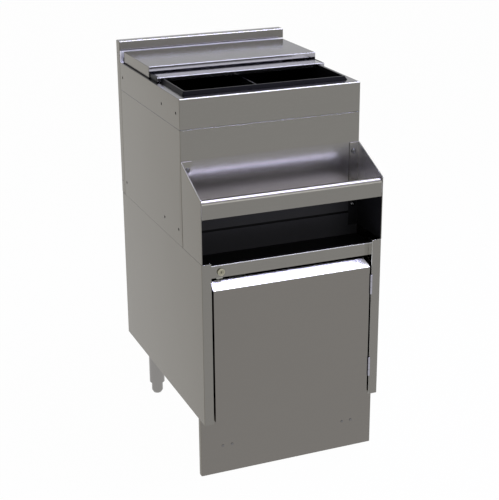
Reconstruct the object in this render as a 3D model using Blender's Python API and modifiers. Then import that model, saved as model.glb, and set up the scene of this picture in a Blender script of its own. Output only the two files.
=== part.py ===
"""Underbar ice bin: an insulated bin with sliding lids and a speed rail, on a cabinet with a hinged door.

Metres, +Z up, +Y to the rear. The origin is on the floor, under the middle of the bounding box.
Every folded sheet is an open strip that is bevelled at its bends and then given its thickness.
"""

import math

import bmesh
import bpy
from mathutils import Matrix, Vector

# Overall sizes
WIDTH = 0.4572
DEPTH = 0.6096
CABINET_BOTTOM = 0.1524
CABINET_TOP = 0.5588
RIM_TOP = 0.9144
SPLASH_RISE = 0.053
SPLASH_DEPTH = 0.0266
RAIL_DEPTH = 0.127

# Sheet metal
SHEET = 0.0012
BEND = 0.002
BEND_STEPS = 2
FIT = 0.0003
MARGIN = 0.02

# Cabinet
STILE_WIDTH = 0.0240
STILE_RETURN = 0.0225
REAR_FLANGE = 0.02
PANEL_FLANGE = 0.015
FLOOR_FLANGE = 0.02
HEADER_RECESS = 0.020
HEADER_DROP = 0.0128
HEADER_HEIGHT = 0.0308
HEADER_HEM = 0.006
HEADER_HEM_LEG = 0.0038
HEADER_EAR = 0.0108
TRAY_FLOOR = 0.534
TRAY_LEDGE = 0.036
TRAY_LEDGE_DROP = 0.0011
TRAY_LIP = 0.0035
TRAY_BACK_TOP = 0.590

# Speed rail
CHEEK_SHEET = 0.002
CHEEK_BEND = 0.0024
CHEEK_FRONT_TOP = 0.7134
CHEEK_REAR_TOP = 0.7688
CHEEK_TAB = 0.026
TROUGH_SHEET = 0.0015
TROUGH_UNDERSIDE = 0.665
TROUGH_FLANGE = 0.012
NOSE_TOP = 0.7097
NOSE_RADIUS = 0.0127
NOSE_STEPS = 18
NOSE_LEG = 0.005
RAIL_BOLT_INSET = 0.0156
RAIL_BOLT_HEIGHTS = (0.613, 0.746)
RAIL_BOLT_HEAD = 0.0066
RAIL_BOLT_DOME = 0.0042
RAIL_BOLT_SHANK = 0.003
RAIL_BOLT_LENGTH = 0.012
BOLT_CLEARANCE = 0.0003

# Chest, head and backsplash
SKIRT_HEIGHT = 0.0726
GANG_HOLE = 0.0036
GANG_FROM_FRONT = (0.0258, 0.1277)
GANG_FROM_SPLASH = 0.0182
GANG_BELOW_RIM = 0.0374
GANG_ABOVE_CABINET = 0.0382
SPLASH_HOLE = 0.0025
SPLASH_HOLE_SETBACK = 0.008
SPLASH_HOLE_BELOW_TOP = 0.0338
COVER_FLANGE = 0.012
COVER_RECESS = 0.0005

# Bin liner, divider and drain
RIM_SIDE = 0.0186
RIM_END = 0.030
COLLAR_HEIGHT = 0.0087
COLLAR_TAPER = 0.005
COLLAR_LAP = 0.005
LINER_WALL = 0.004
LINER_FLOOR = 0.610
LINER_DRAFT = 0.013
LINER_CORNER = 0.004
CORNER_STEPS = 6
DIVIDER_SHEET = 0.003
DIVIDER_BELOW_RIM = 0.0054
GUIDE_WIDTH = 0.004
GUIDE_DEPTH = 0.006
GUIDE_ROOT = 0.002
GUIDE_ABOVE_FLOOR = 0.03
GUIDE_BELOW_RIM = 0.02
DRAIN_NOTCH_HEIGHT = 0.012
DRAIN_NOTCH_CLEARANCE = 0.006
DRAIN_FROM_SPLASH = 0.126
DRAIN_FLANGE = 0.028
DRAIN_FLANGE_HEIGHT = 0.002
DRAIN_PIPE = 0.016
DRAIN_BORE = 0.012
DRAIN_DROP = 0.045
DRAIN_NUT = 0.025
DRAIN_NUT_HEIGHT = 0.012
STRAINER_RADIUS = 0.022
STRAINER_HEIGHT = 0.002
STRAINER_NECK = 0.008
STRAINER_WALL = 0.0015
STRAINER_HOLE = 0.0022
STRAINER_HOLE_CIRCLE = 0.006
STRAINER_HOLES = 6

# Lids
REAR_LID_INSET = 0.0066
REAR_LID_DEPTH = 0.203
REAR_LID_GAP = 0.015
REAR_LID_RISE = 0.0286
REAR_LID_FLANGE_GAP = 0.0021
LID_PASS = 0.0042
FRONT_LID_INSET = 0.0155
FRONT_LID_DEPTH = 0.200
FRONT_LID_SHOWS = 0.057
FRONT_LID_HEM = 0.0034
FRONT_LID_BEND = 0.0016
FRONT_LID_FLANGE = 0.0098
FLANGE_CLEARANCE = 0.005
EAR_CLEARANCE = 0.002
RUNNER_WIDTH = 0.006
GLIDE_INSIDE = 0.002
GLIDE_OUTSIDE = 0.0004
GLIDE_END = 0.005
GLIDE_END_HEIGHT = 0.0125

# Door
DOOR_GAP = 0.0036
DOOR_SILL = 0.0026
DOOR_FACE_TOP = 0.4915
DOOR_DEPTH = 0.026
DOOR_PULL_RISE = 0.0182
DOOR_MITRE = 0.0095
DOOR_FLANGE = 0.012
DOOR_LINER_INSET = 0.006
HINGE_HEIGHTS = (0.2295, 0.447)
HINGE_LENGTH = 0.048
HINGE_BARREL = 0.00275
HINGE_PIN = 0.0015
HINGE_PIN_CLEARANCE = 0.0003
HINGE_PIN_HEAD = 0.0025
HINGE_PIN_HEAD_HEIGHT = 0.0012
HINGE_PROUD = 0.0022
HINGE_FROM_STILE = 0.001
HINGE_LEAF = 0.0012
HINGE_LEAF_DEPTH = 0.016
HINGE_KNUCKLES = 3
LATCH_FROM_EDGE = 0.0742
LATCH_WIDTH = 0.04
STRIKE_SHEET = 0.001
STRIKE_HEIGHT = 0.024
STRIKE_BELOW_LINER_TOP = 0.005
MAGNET_DEPTH = 0.010
MAGNET_HEIGHT = 0.020
LATCH_FLANGE = 0.020

# Lock
LOCK_INSET = 0.0296
LOCK_BELOW_MIDDLE = 0.0016
LOCK_PROUD = 0.0045
LOCK_HEAD = 0.0087
LOCK_CHAMFER = 0.0008
LOCK_BODY = 0.0075
LOCK_BODY_LENGTH = 0.0074
LOCK_PLUG = 0.005
LOCK_PLUG_SUNK = 0.0004
KEYWAY_WIDTH = 0.0013
KEYWAY_LENGTH = 0.0066
KEYWAY_DEPTH = 0.004
LOCK_NUT = 0.0105
LOCK_NUT_HEIGHT = 0.004
CAM_REACH = 0.0215
CAM_HALF_WIDTH = 0.008
CAM_SHEET = 0.002

# Kick plate and legs
KICK_SETBACK = 0.0295
KICK_RETURN = 0.014
KICK_GAP = 0.001
KICK_SCREW_HEIGHT = 0.0735
KICK_SCREW_PITCH = 0.024
KICK_BRACKET_INSET = 0.0682
KICK_BRACKET_WIDTH = 0.040
KICK_BRACKET_FLANGE = 0.022
KICK_BRACKET_BELOW_SCREW = 0.014
KICK_SCREW_HEAD = 0.0032
KICK_SCREW_DOME = 0.0016
KICK_SCREW_SHANK = 0.0018
KICK_SCREW_LENGTH = 0.008
LEG_FROM_SIDE = 0.0486
LEG_FROM_END = 0.095
LEG_TUBE = 0.0206
LEG_WALL = 0.0015
LEG_PLATE = 0.038
LEG_PLATE_HEIGHT = 0.003
LEG_PLUG_HEIGHT = 0.018
FOOT_HEIGHT = 0.032
FOOT_RADIUS = 0.0152
FOOT_TIP = 0.0115
FOOT_TIP_HEIGHT = 0.007
FOOT_STEM = 0.00635
FOOT_STEM_LENGTH = 0.045
STEM_CLEARANCE = 0.0003

ROUND_STEPS = 24
SMALL_STEPS = 16

# Planes that several pieces share
HALF = WIDTH / 2
FRONT = (HINGE_PROUD + HINGE_BARREL - DEPTH) / 2
BACK = FRONT + DEPTH
CHEST_FRONT = FRONT + RAIL_DEPTH
SPLASH_FRONT = BACK - SPLASH_DEPTH
SPLASH_TOP = RIM_TOP + SPLASH_RISE
SKIRT_BOTTOM = RIM_TOP - SKIRT_HEIGHT
INNER_HALF = HALF - SHEET - FIT
STILE_INNER = HALF - STILE_WIDTH
LOCK_X = LOCK_INSET - STILE_INNER
HEADER_FACE = FRONT + HEADER_RECESS
HEADER_TOP = CABINET_TOP - HEADER_DROP
LOCK_HEIGHT = HEADER_TOP - HEADER_HEIGHT / 2 - LOCK_BELOW_MIDDLE
CHEST_REAR = SPLASH_FRONT - FIT
DOOR_HALF = STILE_INNER - DOOR_GAP
DOOR_BOTTOM = CABINET_BOTTOM + DOOR_SILL
DOOR_REAR = FRONT + DOOR_DEPTH
DOOR_LINER_TOP = DOOR_FACE_TOP + DOOR_PULL_RISE - DOOR_LINER_INSET
DOOR_LINER_REAR = DOOR_REAR + FIT + SHEET
COLLAR_TOP = RIM_TOP + COLLAR_HEIGHT
DRAIN_Y = SPLASH_FRONT - DRAIN_FROM_SPLASH
KICK_FACE = FRONT + KICK_SETBACK

FINISHES = {
    "satin_stainless": ((0.42, 0.41, 0.40), 0.34, 1.0),
    "black_plastic": ((0.012, 0.012, 0.013), 0.35, 0.0),
    "grey_foam": ((0.06, 0.06, 0.06), 0.9, 0.0),
    "zinc_plated": ((0.45, 0.45, 0.43), 0.4, 1.0),
    "nickel": ((0.48, 0.46, 0.38), 0.3, 1.0),
    "black_magnet": ((0.03, 0.03, 0.03), 0.6, 0.0),
    "grey_pvc": ((0.35, 0.36, 0.37), 0.45, 0.0),
}

PLACES = {
    "X": lambda u, v, w: Vector((w, u, v)),
    "Y": lambda u, v, w: Vector((u, w, v)),
    "Z": lambda u, v, w: Vector((u, v, w)),
}

for old in list(bpy.data.objects):
    bpy.data.objects.remove(old)
PARTS = bpy.data.collections.new("underbar_ice_bin")
CUTTERS = bpy.data.collections.new("cutters")
for collection in (PARTS, CUTTERS):
    bpy.context.scene.collection.children.link(collection)


def part(name, mesh, finish):
    """A finished piece with its own material."""
    colour, roughness, metallic = FINISHES[finish]
    material = bpy.data.materials.new(f"{name}_{finish}")
    material.use_nodes = True
    shader = material.node_tree.nodes["Principled BSDF"]
    shader.inputs["Base Color"].default_value = (*colour, 1.0)
    shader.inputs["Roughness"].default_value = roughness
    shader.inputs["Metallic"].default_value = metallic
    mesh.materials.append(material)
    obj = bpy.data.objects.new(name, mesh)
    PARTS.objects.link(obj)
    return obj


def combine(obj, operation, mesh):
    """Cuts a shape from a piece (DIFFERENCE) or joins one to it (UNION)."""
    tool = bpy.data.objects.new(f"{obj.name}_{operation.lower()}_{len(obj.modifiers)}", mesh)
    CUTTERS.objects.link(tool)
    tool.hide_render = True
    tool.display_type = "WIRE"
    modifier = obj.modifiers.new(operation.lower(), "BOOLEAN")
    modifier.operation = operation
    modifier.solver = "EXACT"
    modifier.object = tool


def cut(obj, mesh):
    combine(obj, "DIFFERENCE", mesh)


def join(obj, mesh):
    combine(obj, "UNION", mesh)


def mesh_of(bm, name):
    bmesh.ops.recalc_face_normals(bm, faces=bm.faces[:])
    mesh = bpy.data.meshes.new(name)
    bm.to_mesh(mesh)
    bm.free()
    return mesh


def block(low, high, radius=0.0, open_sides=()):
    """A box between two corners. Its edges are rounded, apart from those round an open side."""
    low, high = Vector(low), Vector(high)
    bm = bmesh.new()
    bmesh.ops.create_cube(bm, size=1.0)
    for vert in bm.verts:
        vert.co = [a + (t + 0.5) * (b - a) for a, b, t in zip(low, high, vert.co)]
    if radius:
        bm.normal_update()
        square = set()
        for face in bm.faces:
            axis = max(range(3), key=lambda i: abs(face.normal[i]))
            side = ("+" if face.normal[axis] > 0 else "-") + "xyz"[axis]
            if side in open_sides:
                square.update(face.edges)
        edges = [edge for edge in bm.edges if edge not in square]
        bmesh.ops.bevel(
            bm, geom=edges, offset=radius, segments=BEND_STEPS, profile=0.5, affect="EDGES"
        )
    return mesh_of(bm, "block")


def pan(name, low, high, open_sides, finish):
    """A folded pan of one sheet, open on the sides named, such as -z."""
    obj = part(name, block(low, high, BEND, open_sides), finish)
    inner_low = [value + SHEET for value in low]
    inner_high = [value - SHEET for value in high]
    for side in open_sides:
        axis = "xyz".index(side[1])
        if side[0] == "+":
            inner_high[axis] = high[axis] + MARGIN
        else:
            inner_low[axis] = low[axis] - MARGIN
    cut(obj, block(inner_low, inner_high))
    return obj


def prism(outline, axis, start, end):
    """A flat outline drawn out along an axis: (y, z) along X, (x, z) along Y, (x, y) along Z."""
    bm = bmesh.new()
    face = bm.faces.new([bm.verts.new(PLACES[axis](u, v, start)) for u, v in outline])
    made = bmesh.ops.extrude_face_region(bm, geom=[face])
    moved = [item for item in made["geom"] if isinstance(item, bmesh.types.BMVert)]
    bmesh.ops.translate(bm, vec=PLACES[axis](0, 0, end - start), verts=moved)
    return mesh_of(bm, "prism")


def rod(radius, start, end, steps=ROUND_STEPS):
    """A straight cylinder between two points."""
    start, end = Vector(start), Vector(end)
    along = end - start
    turn = Vector((0, 0, 1)).rotation_difference(along).to_matrix().to_4x4()
    bm = bmesh.new()
    bmesh.ops.create_cone(
        bm, cap_ends=True, segments=steps, radius1=radius, radius2=radius, depth=along.length,
        matrix=Matrix.Translation((start + end) / 2) @ turn,
    )
    return mesh_of(bm, "rod")


def sheet(name, path, axis, start, end, finish, thickness=SHEET, bend=BEND):
    """A strip folded along a path and drawn out along X or Z. The metal lies left of the path."""
    bm = bmesh.new()
    near = [bm.verts.new(PLACES[axis](u, v, start)) for u, v in path]
    far = [bm.verts.new(PLACES[axis](u, v, end)) for u, v in path]
    for i in range(len(path) - 1):
        bm.faces.new((near[i], near[i + 1], far[i + 1], far[i]))
    mesh = bpy.data.meshes.new(name)
    bm.to_mesh(mesh)
    bm.free()
    obj = part(name, mesh, finish)
    rounding = obj.modifiers.new("bend", "BEVEL")
    rounding.width = bend
    rounding.segments = BEND_STEPS
    rounding.limit_method = "ANGLE"
    rounding.angle_limit = math.radians(40)
    metal = obj.modifiers.new("sheet", "SOLIDIFY")
    metal.thickness = thickness
    metal.offset = -1.0
    metal.use_even_offset = True
    return obj


def turned(name, profile, place, finish, closed=False, towards_front=False, steps=ROUND_STEPS):
    """A turned piece: (radius, height) points that run down its outer side."""
    bm = bmesh.new()
    verts = [bm.verts.new((radius, 0, height)) for radius, height in profile]
    for a, b in zip(verts, verts[1:]):
        bm.edges.new((a, b))
    if closed:
        bm.edges.new((verts[-1], verts[0]))
    mesh = bpy.data.meshes.new(name)
    bm.to_mesh(mesh)
    bm.free()
    obj = part(name, mesh, finish)
    screw = obj.modifiers.new("turn", "SCREW")
    screw.steps = steps
    screw.render_steps = steps
    screw.use_merge_vertices = True
    screw.merge_threshold = 0.00001
    obj.location = place
    if towards_front:
        obj.rotation_euler = (math.pi / 2, 0, 0)
    return obj


def arc(centre, radius, start_deg, end_deg, steps):
    """Points on an arc, both ends included."""
    angles = [
        math.radians(start_deg + (end_deg - start_deg) * i / steps) for i in range(steps + 1)
    ]
    return [(centre[0] + radius * math.cos(a), centre[1] + radius * math.sin(a)) for a in angles]


def mirrored(path):
    """The path on the other side of the middle, with the metal still on its left."""
    return [(-x, y) for x, y in reversed(path)]


def on_axis(name, place, children):
    """An empty on a joint's axis that carries the pieces that move about it."""
    empty = bpy.data.objects.new(name, None)
    empty.location = place
    PARTS.objects.link(empty)
    for child in children:
        child.parent = empty
        child.matrix_parent_inverse = Matrix.Translation(place).inverted()


def cabinet_shell():
    """Sides with notched stiles, back, floor, recessed header rail and the sunken tray under the rail."""
    side = [
        (STILE_INNER, FRONT + STILE_RETURN),
        (STILE_INNER, FRONT),
        (HALF, FRONT),
        (HALF, BACK),
        (HALF - REAR_FLANGE, BACK),
    ]
    ear_bottom = HEADER_TOP - HEADER_EAR
    notch_half = STILE_INNER + SHEET + FIT
    for name, path in (("left", mirrored(side)), ("right", side)):
        panel = sheet(f"cabinet_side_{name}", path, "Z", CABINET_BOTTOM, CABINET_TOP, "satin_stainless")
        cut(panel, block(
            (-notch_half, HEADER_FACE - FIT, ear_bottom - FIT),
            (notch_half, FRONT + STILE_RETURN + MARGIN, CABINET_TOP + MARGIN),
        ))

    back_face = BACK - SHEET - FIT
    back = [
        (INNER_HALF, back_face - PANEL_FLANGE),
        (INNER_HALF, back_face),
        (-INNER_HALF, back_face),
        (-INNER_HALF, back_face - PANEL_FLANGE),
    ]
    sheet("cabinet_back", back, "Z", CABINET_BOTTOM, CABINET_TOP, "satin_stainless")

    floor_rear = back_face - SHEET - FIT
    floor = [
        (KICK_FACE, CABINET_BOTTOM + FLOOR_FLANGE),
        (KICK_FACE, CABINET_BOTTOM),
        (floor_rear, CABINET_BOTTOM),
        (floor_rear, CABINET_BOTTOM + FLOOR_FLANGE),
    ]
    floor_half = INNER_HALF - SHEET - FIT
    sheet("cabinet_floor", floor, "X", -floor_half, floor_half, "satin_stainless")

    header = [
        (HEADER_FACE + HEADER_HEM, HEADER_TOP - HEADER_HEM_LEG),
        (HEADER_FACE + HEADER_HEM, HEADER_TOP),
        (HEADER_FACE, HEADER_TOP),
        (HEADER_FACE, HEADER_TOP - HEADER_HEIGHT),
    ]
    rail = sheet("header_rail", header, "X", -INNER_HALF, INNER_HALF, "satin_stainless")
    for side_of in (-1, 1):
        inner, outer = side_of * (STILE_INNER - FIT), side_of * (HALF + MARGIN)
        cut(rail, block(
            (min(inner, outer), HEADER_FACE - MARGIN, CABINET_BOTTOM),
            (max(inner, outer), HEADER_FACE + MARGIN, ear_bottom),
        ))
    hole_start = (LOCK_X, HEADER_FACE - MARGIN, LOCK_HEIGHT)
    hole_end = (LOCK_X, HEADER_FACE + MARGIN, LOCK_HEIGHT)
    cut(rail, rod(LOCK_BODY + FIT, hole_start, hole_end))

    lip_rear = HEADER_FACE + HEADER_HEM + FIT + SHEET
    ledge = HEADER_TOP - TRAY_LEDGE_DROP - SHEET
    tray_rear = CHEST_FRONT - FIT
    tray_path = [
        (lip_rear, ledge - TRAY_LIP),
        (lip_rear, ledge),
        (FRONT + TRAY_LEDGE, ledge),
        (FRONT + TRAY_LEDGE, TRAY_FLOOR - SHEET),
        (tray_rear, TRAY_FLOOR - SHEET),
        (tray_rear, TRAY_BACK_TOP),
    ]
    tray = sheet("shelf_tray", tray_path, "X", -INNER_HALF, INNER_HALF, "black_plastic")
    for side_of in (-1, 1):
        inner, outer = side_of * (HALF - CHEEK_TAB - FIT), side_of * (HALF + MARGIN)
        low_x, high_x = min(inner, outer), max(inner, outer)
        tab_notch = CHEST_FRONT - FIT - CHEEK_SHEET - FIT
        cut(tray, block((low_x, tab_notch, CABINET_TOP), (high_x, CHEST_FRONT + MARGIN, RIM_TOP)))


def rail_bolt_places():
    for side in (-1, 1):
        for height in RAIL_BOLT_HEIGHTS:
            yield side * (HALF - RAIL_BOLT_INSET), height


def dome_screw(name, head, dome, shank, length, place, finish):
    """A dome-headed screw that points to the rear, its head resting on the plane of its place."""
    crown = [(head * math.sin(a), dome * math.cos(a)) for a in (0.0, 0.5, 0.95, 1.35)]
    profile = [(0, dome), *crown[1:], (head, 0), (shank, 0), (shank, -length), (0, -length)]
    return turned(name, profile, place, finish, towards_front=True, steps=SMALL_STEPS)


def speed_rail():
    """Cheeks with rear tabs, the trough with its rolled nose, and the bolts that hold the tabs."""
    tab_rear = CHEST_FRONT - FIT
    cheek = [(HALF, FRONT), (HALF, tab_rear), (HALF - CHEEK_TAB, tab_rear)]
    slope = (CHEEK_REAR_TOP - CHEEK_FRONT_TOP) / RAIL_DEPTH
    above = [
        (FRONT - MARGIN, CHEEK_FRONT_TOP - slope * MARGIN),
        (CHEST_FRONT + MARGIN, CHEEK_REAR_TOP + slope * MARGIN),
        (CHEST_FRONT + MARGIN, RIM_TOP),
        (FRONT - MARGIN, RIM_TOP),
    ]
    for side, path in (("left", mirrored(cheek)), ("right", cheek)):
        obj = sheet(
            f"rail_cheek_{side}", path, "Z", CABINET_TOP + FIT, CHEEK_REAR_TOP + MARGIN,
            "satin_stainless", CHEEK_SHEET, CHEEK_BEND,
        )
        cut(obj, prism(above, "X", -HALF - MARGIN, HALF + MARGIN))
        for x, z in rail_bolt_places():
            if (x > 0) == (side == "right"):
                cut(obj, rail_bolt_hole(x, z))

    rear = tab_rear - CHEEK_SHEET - FIT - TROUGH_SHEET
    nose = arc((FRONT + NOSE_RADIUS, NOSE_TOP - NOSE_RADIUS), NOSE_RADIUS, 0, 180, NOSE_STEPS)
    trough = [
        (FRONT + 2 * NOSE_RADIUS, NOSE_TOP - NOSE_RADIUS - NOSE_LEG),
        *nose,
        (FRONT, TROUGH_UNDERSIDE),
        (rear, TROUGH_UNDERSIDE),
        (rear, TROUGH_UNDERSIDE - TROUGH_FLANGE),
    ]
    half = HALF - CHEEK_BEND - FIT
    sheet("rail_trough", trough, "X", -half, half, "satin_stainless", TROUGH_SHEET)

    head_seat = tab_rear - CHEEK_SHEET - FIT
    for x, z in rail_bolt_places():
        name = f"rail_bolt_{'right' if x > 0 else 'left'}_{RAIL_BOLT_HEIGHTS.index(z) + 1}"
        dome_screw(
            name, RAIL_BOLT_HEAD, RAIL_BOLT_DOME, RAIL_BOLT_SHANK, RAIL_BOLT_LENGTH,
            (x, head_seat, z), "zinc_plated",
        )


def rail_bolt_hole(x, z, clearance=BOLT_CLEARANCE):
    reach = CHEST_FRONT + RAIL_BOLT_LENGTH + clearance
    return rod(RAIL_BOLT_SHANK + clearance, (x, CHEST_FRONT - MARGIN, z), (x, reach, z), SMALL_STEPS)


def gang_hole(y, height):
    """A hole right across both sides, for bolting units side by side."""
    return rod(GANG_HOLE, (-HALF - MARGIN, y, height), (HALF + MARGIN, y, height), SMALL_STEPS)


def rim_outline(inset, corner=LINER_CORNER):
    """The collar's rounded outline on the deck, drawn in by an inset, as (x, y) points."""
    half = HALF - RIM_SIDE - inset
    front = CHEST_FRONT + RIM_END + inset
    rear = SPLASH_FRONT - RIM_END - inset
    return rounded_rectangle(half, front, rear, corner)


def rounded_rectangle(half, front, rear, corner):
    points = []
    for x, y, start in (
        (half - corner, front + corner, -90),
        (half - corner, rear - corner, 0),
        (corner - half, rear - corner, 90),
        (corner - half, front + corner, 180),
    ):
        points += arc((x, y), corner, start, start + 90, CORNER_STEPS)
    return points


def loft(rings):
    """A closed skin through rings of points at given heights, capped on the first and last."""
    bm = bmesh.new()
    loops = [[bm.verts.new((x, y, height)) for x, y in ring] for height, ring in rings]
    for lower, upper in zip(loops, loops[1:]):
        for i in range(len(lower)):
            j = (i + 1) % len(lower)
            bm.faces.new((lower[i], lower[j], upper[j], upper[i]))
    bm.faces.new(loops[0])
    bm.faces.new(loops[-1])
    return mesh_of(bm, "loft")


def drain_hole(radius):
    return rod(radius, (0, DRAIN_Y, CABINET_TOP - MARGIN), (0, DRAIN_Y, LINER_FLOOR + MARGIN))


def chest():
    """Wrap, floor, head with its deck, backsplash, rear cover and the foam round the liner."""
    wrap_path = [(-HALF, CHEST_REAR), (-HALF, CHEST_FRONT), (HALF, CHEST_FRONT), (HALF, CHEST_REAR)]
    wrap_bottom = CABINET_TOP + FIT
    wrap = sheet("chest_wrap", wrap_path, "Z", wrap_bottom, SKIRT_BOTTOM - FIT, "satin_stainless")
    head = pan(
        "head_rim", (-HALF, CHEST_FRONT, SKIRT_BOTTOM), (HALF, CHEST_REAR, RIM_TOP),
        ("-z", "+y"), "satin_stainless",
    )
    gang_places = [CHEST_FRONT + setback for setback in GANG_FROM_FRONT]
    for y in (*gang_places, SPLASH_FRONT - GANG_FROM_SPLASH):
        cut(wrap, gang_hole(y, CABINET_TOP + GANG_ABOVE_CABINET))
        cut(head, gang_hole(y, RIM_TOP - GANG_BELOW_RIM))
    for x, z in rail_bolt_places():
        cut(wrap, rail_bolt_hole(x, z))
    cut(head, prism(rim_outline(COLLAR_LAP), "Z", RIM_TOP - MARGIN, RIM_TOP + MARGIN))

    floor_front = CHEST_FRONT + SHEET + FIT
    floor_path = [
        (floor_front, wrap_bottom + FLOOR_FLANGE),
        (floor_front, wrap_bottom),
        (CHEST_REAR, wrap_bottom),
        (CHEST_REAR, wrap_bottom + FLOOR_FLANGE),
    ]
    floor = sheet("chest_floor", floor_path, "X", -INNER_HALF, INNER_HALF, "satin_stainless")
    cut(floor, drain_hole(DRAIN_PIPE + FIT))

    splash = pan(
        "back_panel", (-HALF, SPLASH_FRONT, wrap_bottom), (HALF, BACK, SPLASH_TOP), ("+y",),
        "satin_stainless",
    )
    y = BACK - SPLASH_HOLE_SETBACK
    for z in (SPLASH_TOP - SPLASH_HOLE_BELOW_TOP, wrap_bottom + SPLASH_HOLE_BELOW_TOP):
        cut(splash, rod(SPLASH_HOLE, (-HALF - MARGIN, y, z), (HALF + MARGIN, y, z), SMALL_STEPS))

    cover_face = BACK - COVER_RECESS
    cover_path = [
        (INNER_HALF, cover_face - COVER_FLANGE),
        (INNER_HALF, cover_face),
        (-INNER_HALF, cover_face),
        (-INNER_HALF, cover_face - COVER_FLANGE),
    ]
    cover_low, cover_high = wrap_bottom + SHEET + FIT, SPLASH_TOP - SHEET - FIT
    sheet("rear_cover", cover_path, "Z", cover_low, cover_high, "satin_stainless")

    outside = rounded_rectangle(
        INNER_HALF, floor_front + SHEET + FIT, CHEST_REAR - SHEET - FIT, BEND
    )
    liner_gap = COLLAR_LAP
    foam_rings = [
        (wrap_bottom + SHEET + 2 * FIT, outside),
        (RIM_TOP - SHEET - FIT, outside),
        (RIM_TOP - SHEET - FIT, rim_outline(liner_gap)),
        (LINER_FLOOR - LINER_WALL - FIT, rim_outline(liner_gap + LINER_DRAFT)),
    ]
    foam = part("foam_insulation", loft(foam_rings), "grey_foam")
    cut(foam, drain_hole(DRAIN_PIPE + FIT))
    for x, z in rail_bolt_places():
        cut(foam, rail_bolt_hole(x, z, 2 * BOLT_CLEARANCE))


def liner_inset(height):
    """How far the liner's inner wall lies inside the collar's outline at a height."""
    top = COLLAR_TAPER + LINER_WALL
    bottom = COLLAR_LAP + FIT + LINER_WALL + LINER_DRAFT
    return top + (bottom - top) * (COLLAR_TOP - height) / (COLLAR_TOP - LINER_FLOOR)


def liner_face(height, front):
    """Where the liner's inner front or rear wall stands at a height."""
    inset = RIM_END + liner_inset(height)
    return CHEST_FRONT + inset if front else SPLASH_FRONT - inset


def bin_and_drain():
    """Moulded liner with guides, divider, and the drain through the liner's floor."""
    outside = COLLAR_LAP + FIT
    rings = [
        (LINER_FLOOR, rim_outline(liner_inset(LINER_FLOOR))),
        (COLLAR_TOP, rim_outline(liner_inset(COLLAR_TOP))),
        (COLLAR_TOP, rim_outline(COLLAR_TAPER)),
        (RIM_TOP + FIT, rim_outline(0)),
        (RIM_TOP + FIT, rim_outline(outside)),
        (LINER_FLOOR - LINER_WALL, rim_outline(outside + LINER_DRAFT)),
    ]
    liner = part("bin_liner", loft(rings), "black_plastic")
    low, high = LINER_FLOOR + GUIDE_ABOVE_FLOOR, RIM_TOP - GUIDE_BELOW_RIM
    for front in (True, False):
        inwards = 1 if front else -1
        outline = [
            (liner_face(low, front) - inwards * GUIDE_ROOT, low),
            (liner_face(low, front) + inwards * GUIDE_DEPTH, low),
            (liner_face(high, front) + inwards * GUIDE_DEPTH, high),
            (liner_face(high, front) - inwards * GUIDE_ROOT, high),
        ]
        near = DIVIDER_SHEET / 2 + FIT
        for start, end in ((near, near + GUIDE_WIDTH), (-near - GUIDE_WIDTH, -near)):
            join(liner, prism(outline, "X", start, end))
    cut(liner, drain_hole(DRAIN_PIPE + FIT))

    low, high = LINER_FLOOR + FIT, RIM_TOP - DIVIDER_BELOW_RIM
    outline = [
        (liner_face(low, True) + FIT, low),
        (liner_face(low, False) - FIT, low),
        (liner_face(high, False) - FIT, high),
        (liner_face(high, True) + FIT, high),
    ]
    plate = prism(outline, "X", -DIVIDER_SHEET / 2, DIVIDER_SHEET / 2)
    divider = part("bin_divider", plate, "black_plastic")
    notch = DRAIN_FLANGE + DRAIN_NOTCH_CLEARANCE
    notch_low = (-MARGIN, DRAIN_Y - notch, LINER_FLOOR - MARGIN)
    cut(divider, block(notch_low, (MARGIN, DRAIN_Y + notch, LINER_FLOOR + DRAIN_NOTCH_HEIGHT)))

    seat = LINER_FLOOR + FIT
    top = seat + DRAIN_FLANGE_HEIGHT
    pipe_end = CABINET_TOP - DRAIN_DROP
    fitting = [
        (DRAIN_BORE, top),
        (DRAIN_FLANGE, top),
        (DRAIN_FLANGE, seat),
        (DRAIN_PIPE, seat),
        (DRAIN_PIPE, pipe_end),
        (DRAIN_BORE, pipe_end),
    ]
    turned("drain_fitting", fitting, (0, DRAIN_Y, 0), "grey_pvc", closed=True)
    nut_top = CABINET_TOP
    nut = part(
        "drain_nut",
        rod(DRAIN_NUT, (0, DRAIN_Y, nut_top - DRAIN_NUT_HEIGHT), (0, DRAIN_Y, nut_top), 6),
        "grey_pvc",
    )
    cut(nut, drain_hole(DRAIN_PIPE + FIT))
    base = top + FIT
    neck = DRAIN_BORE - FIT
    strainer_profile = [
        (0, base + STRAINER_HEIGHT),
        (STRAINER_RADIUS, base + STRAINER_HEIGHT),
        (STRAINER_RADIUS, base),
        (neck, base),
        (neck, base - STRAINER_NECK),
        (neck - STRAINER_WALL, base - STRAINER_NECK),
        (neck - STRAINER_WALL, base),
        (0, base),
    ]
    strainer = turned("drain_strainer", strainer_profile, (0, DRAIN_Y, 0), "satin_stainless")
    for x, y in arc((0, DRAIN_Y), STRAINER_HOLE_CIRCLE, 0, 360, STRAINER_HOLES)[:-1]:
        hole = rod(STRAINER_HOLE, (x, y, base - MARGIN), (x, y, base + MARGIN), SMALL_STEPS)
        cut(strainer, hole)


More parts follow.
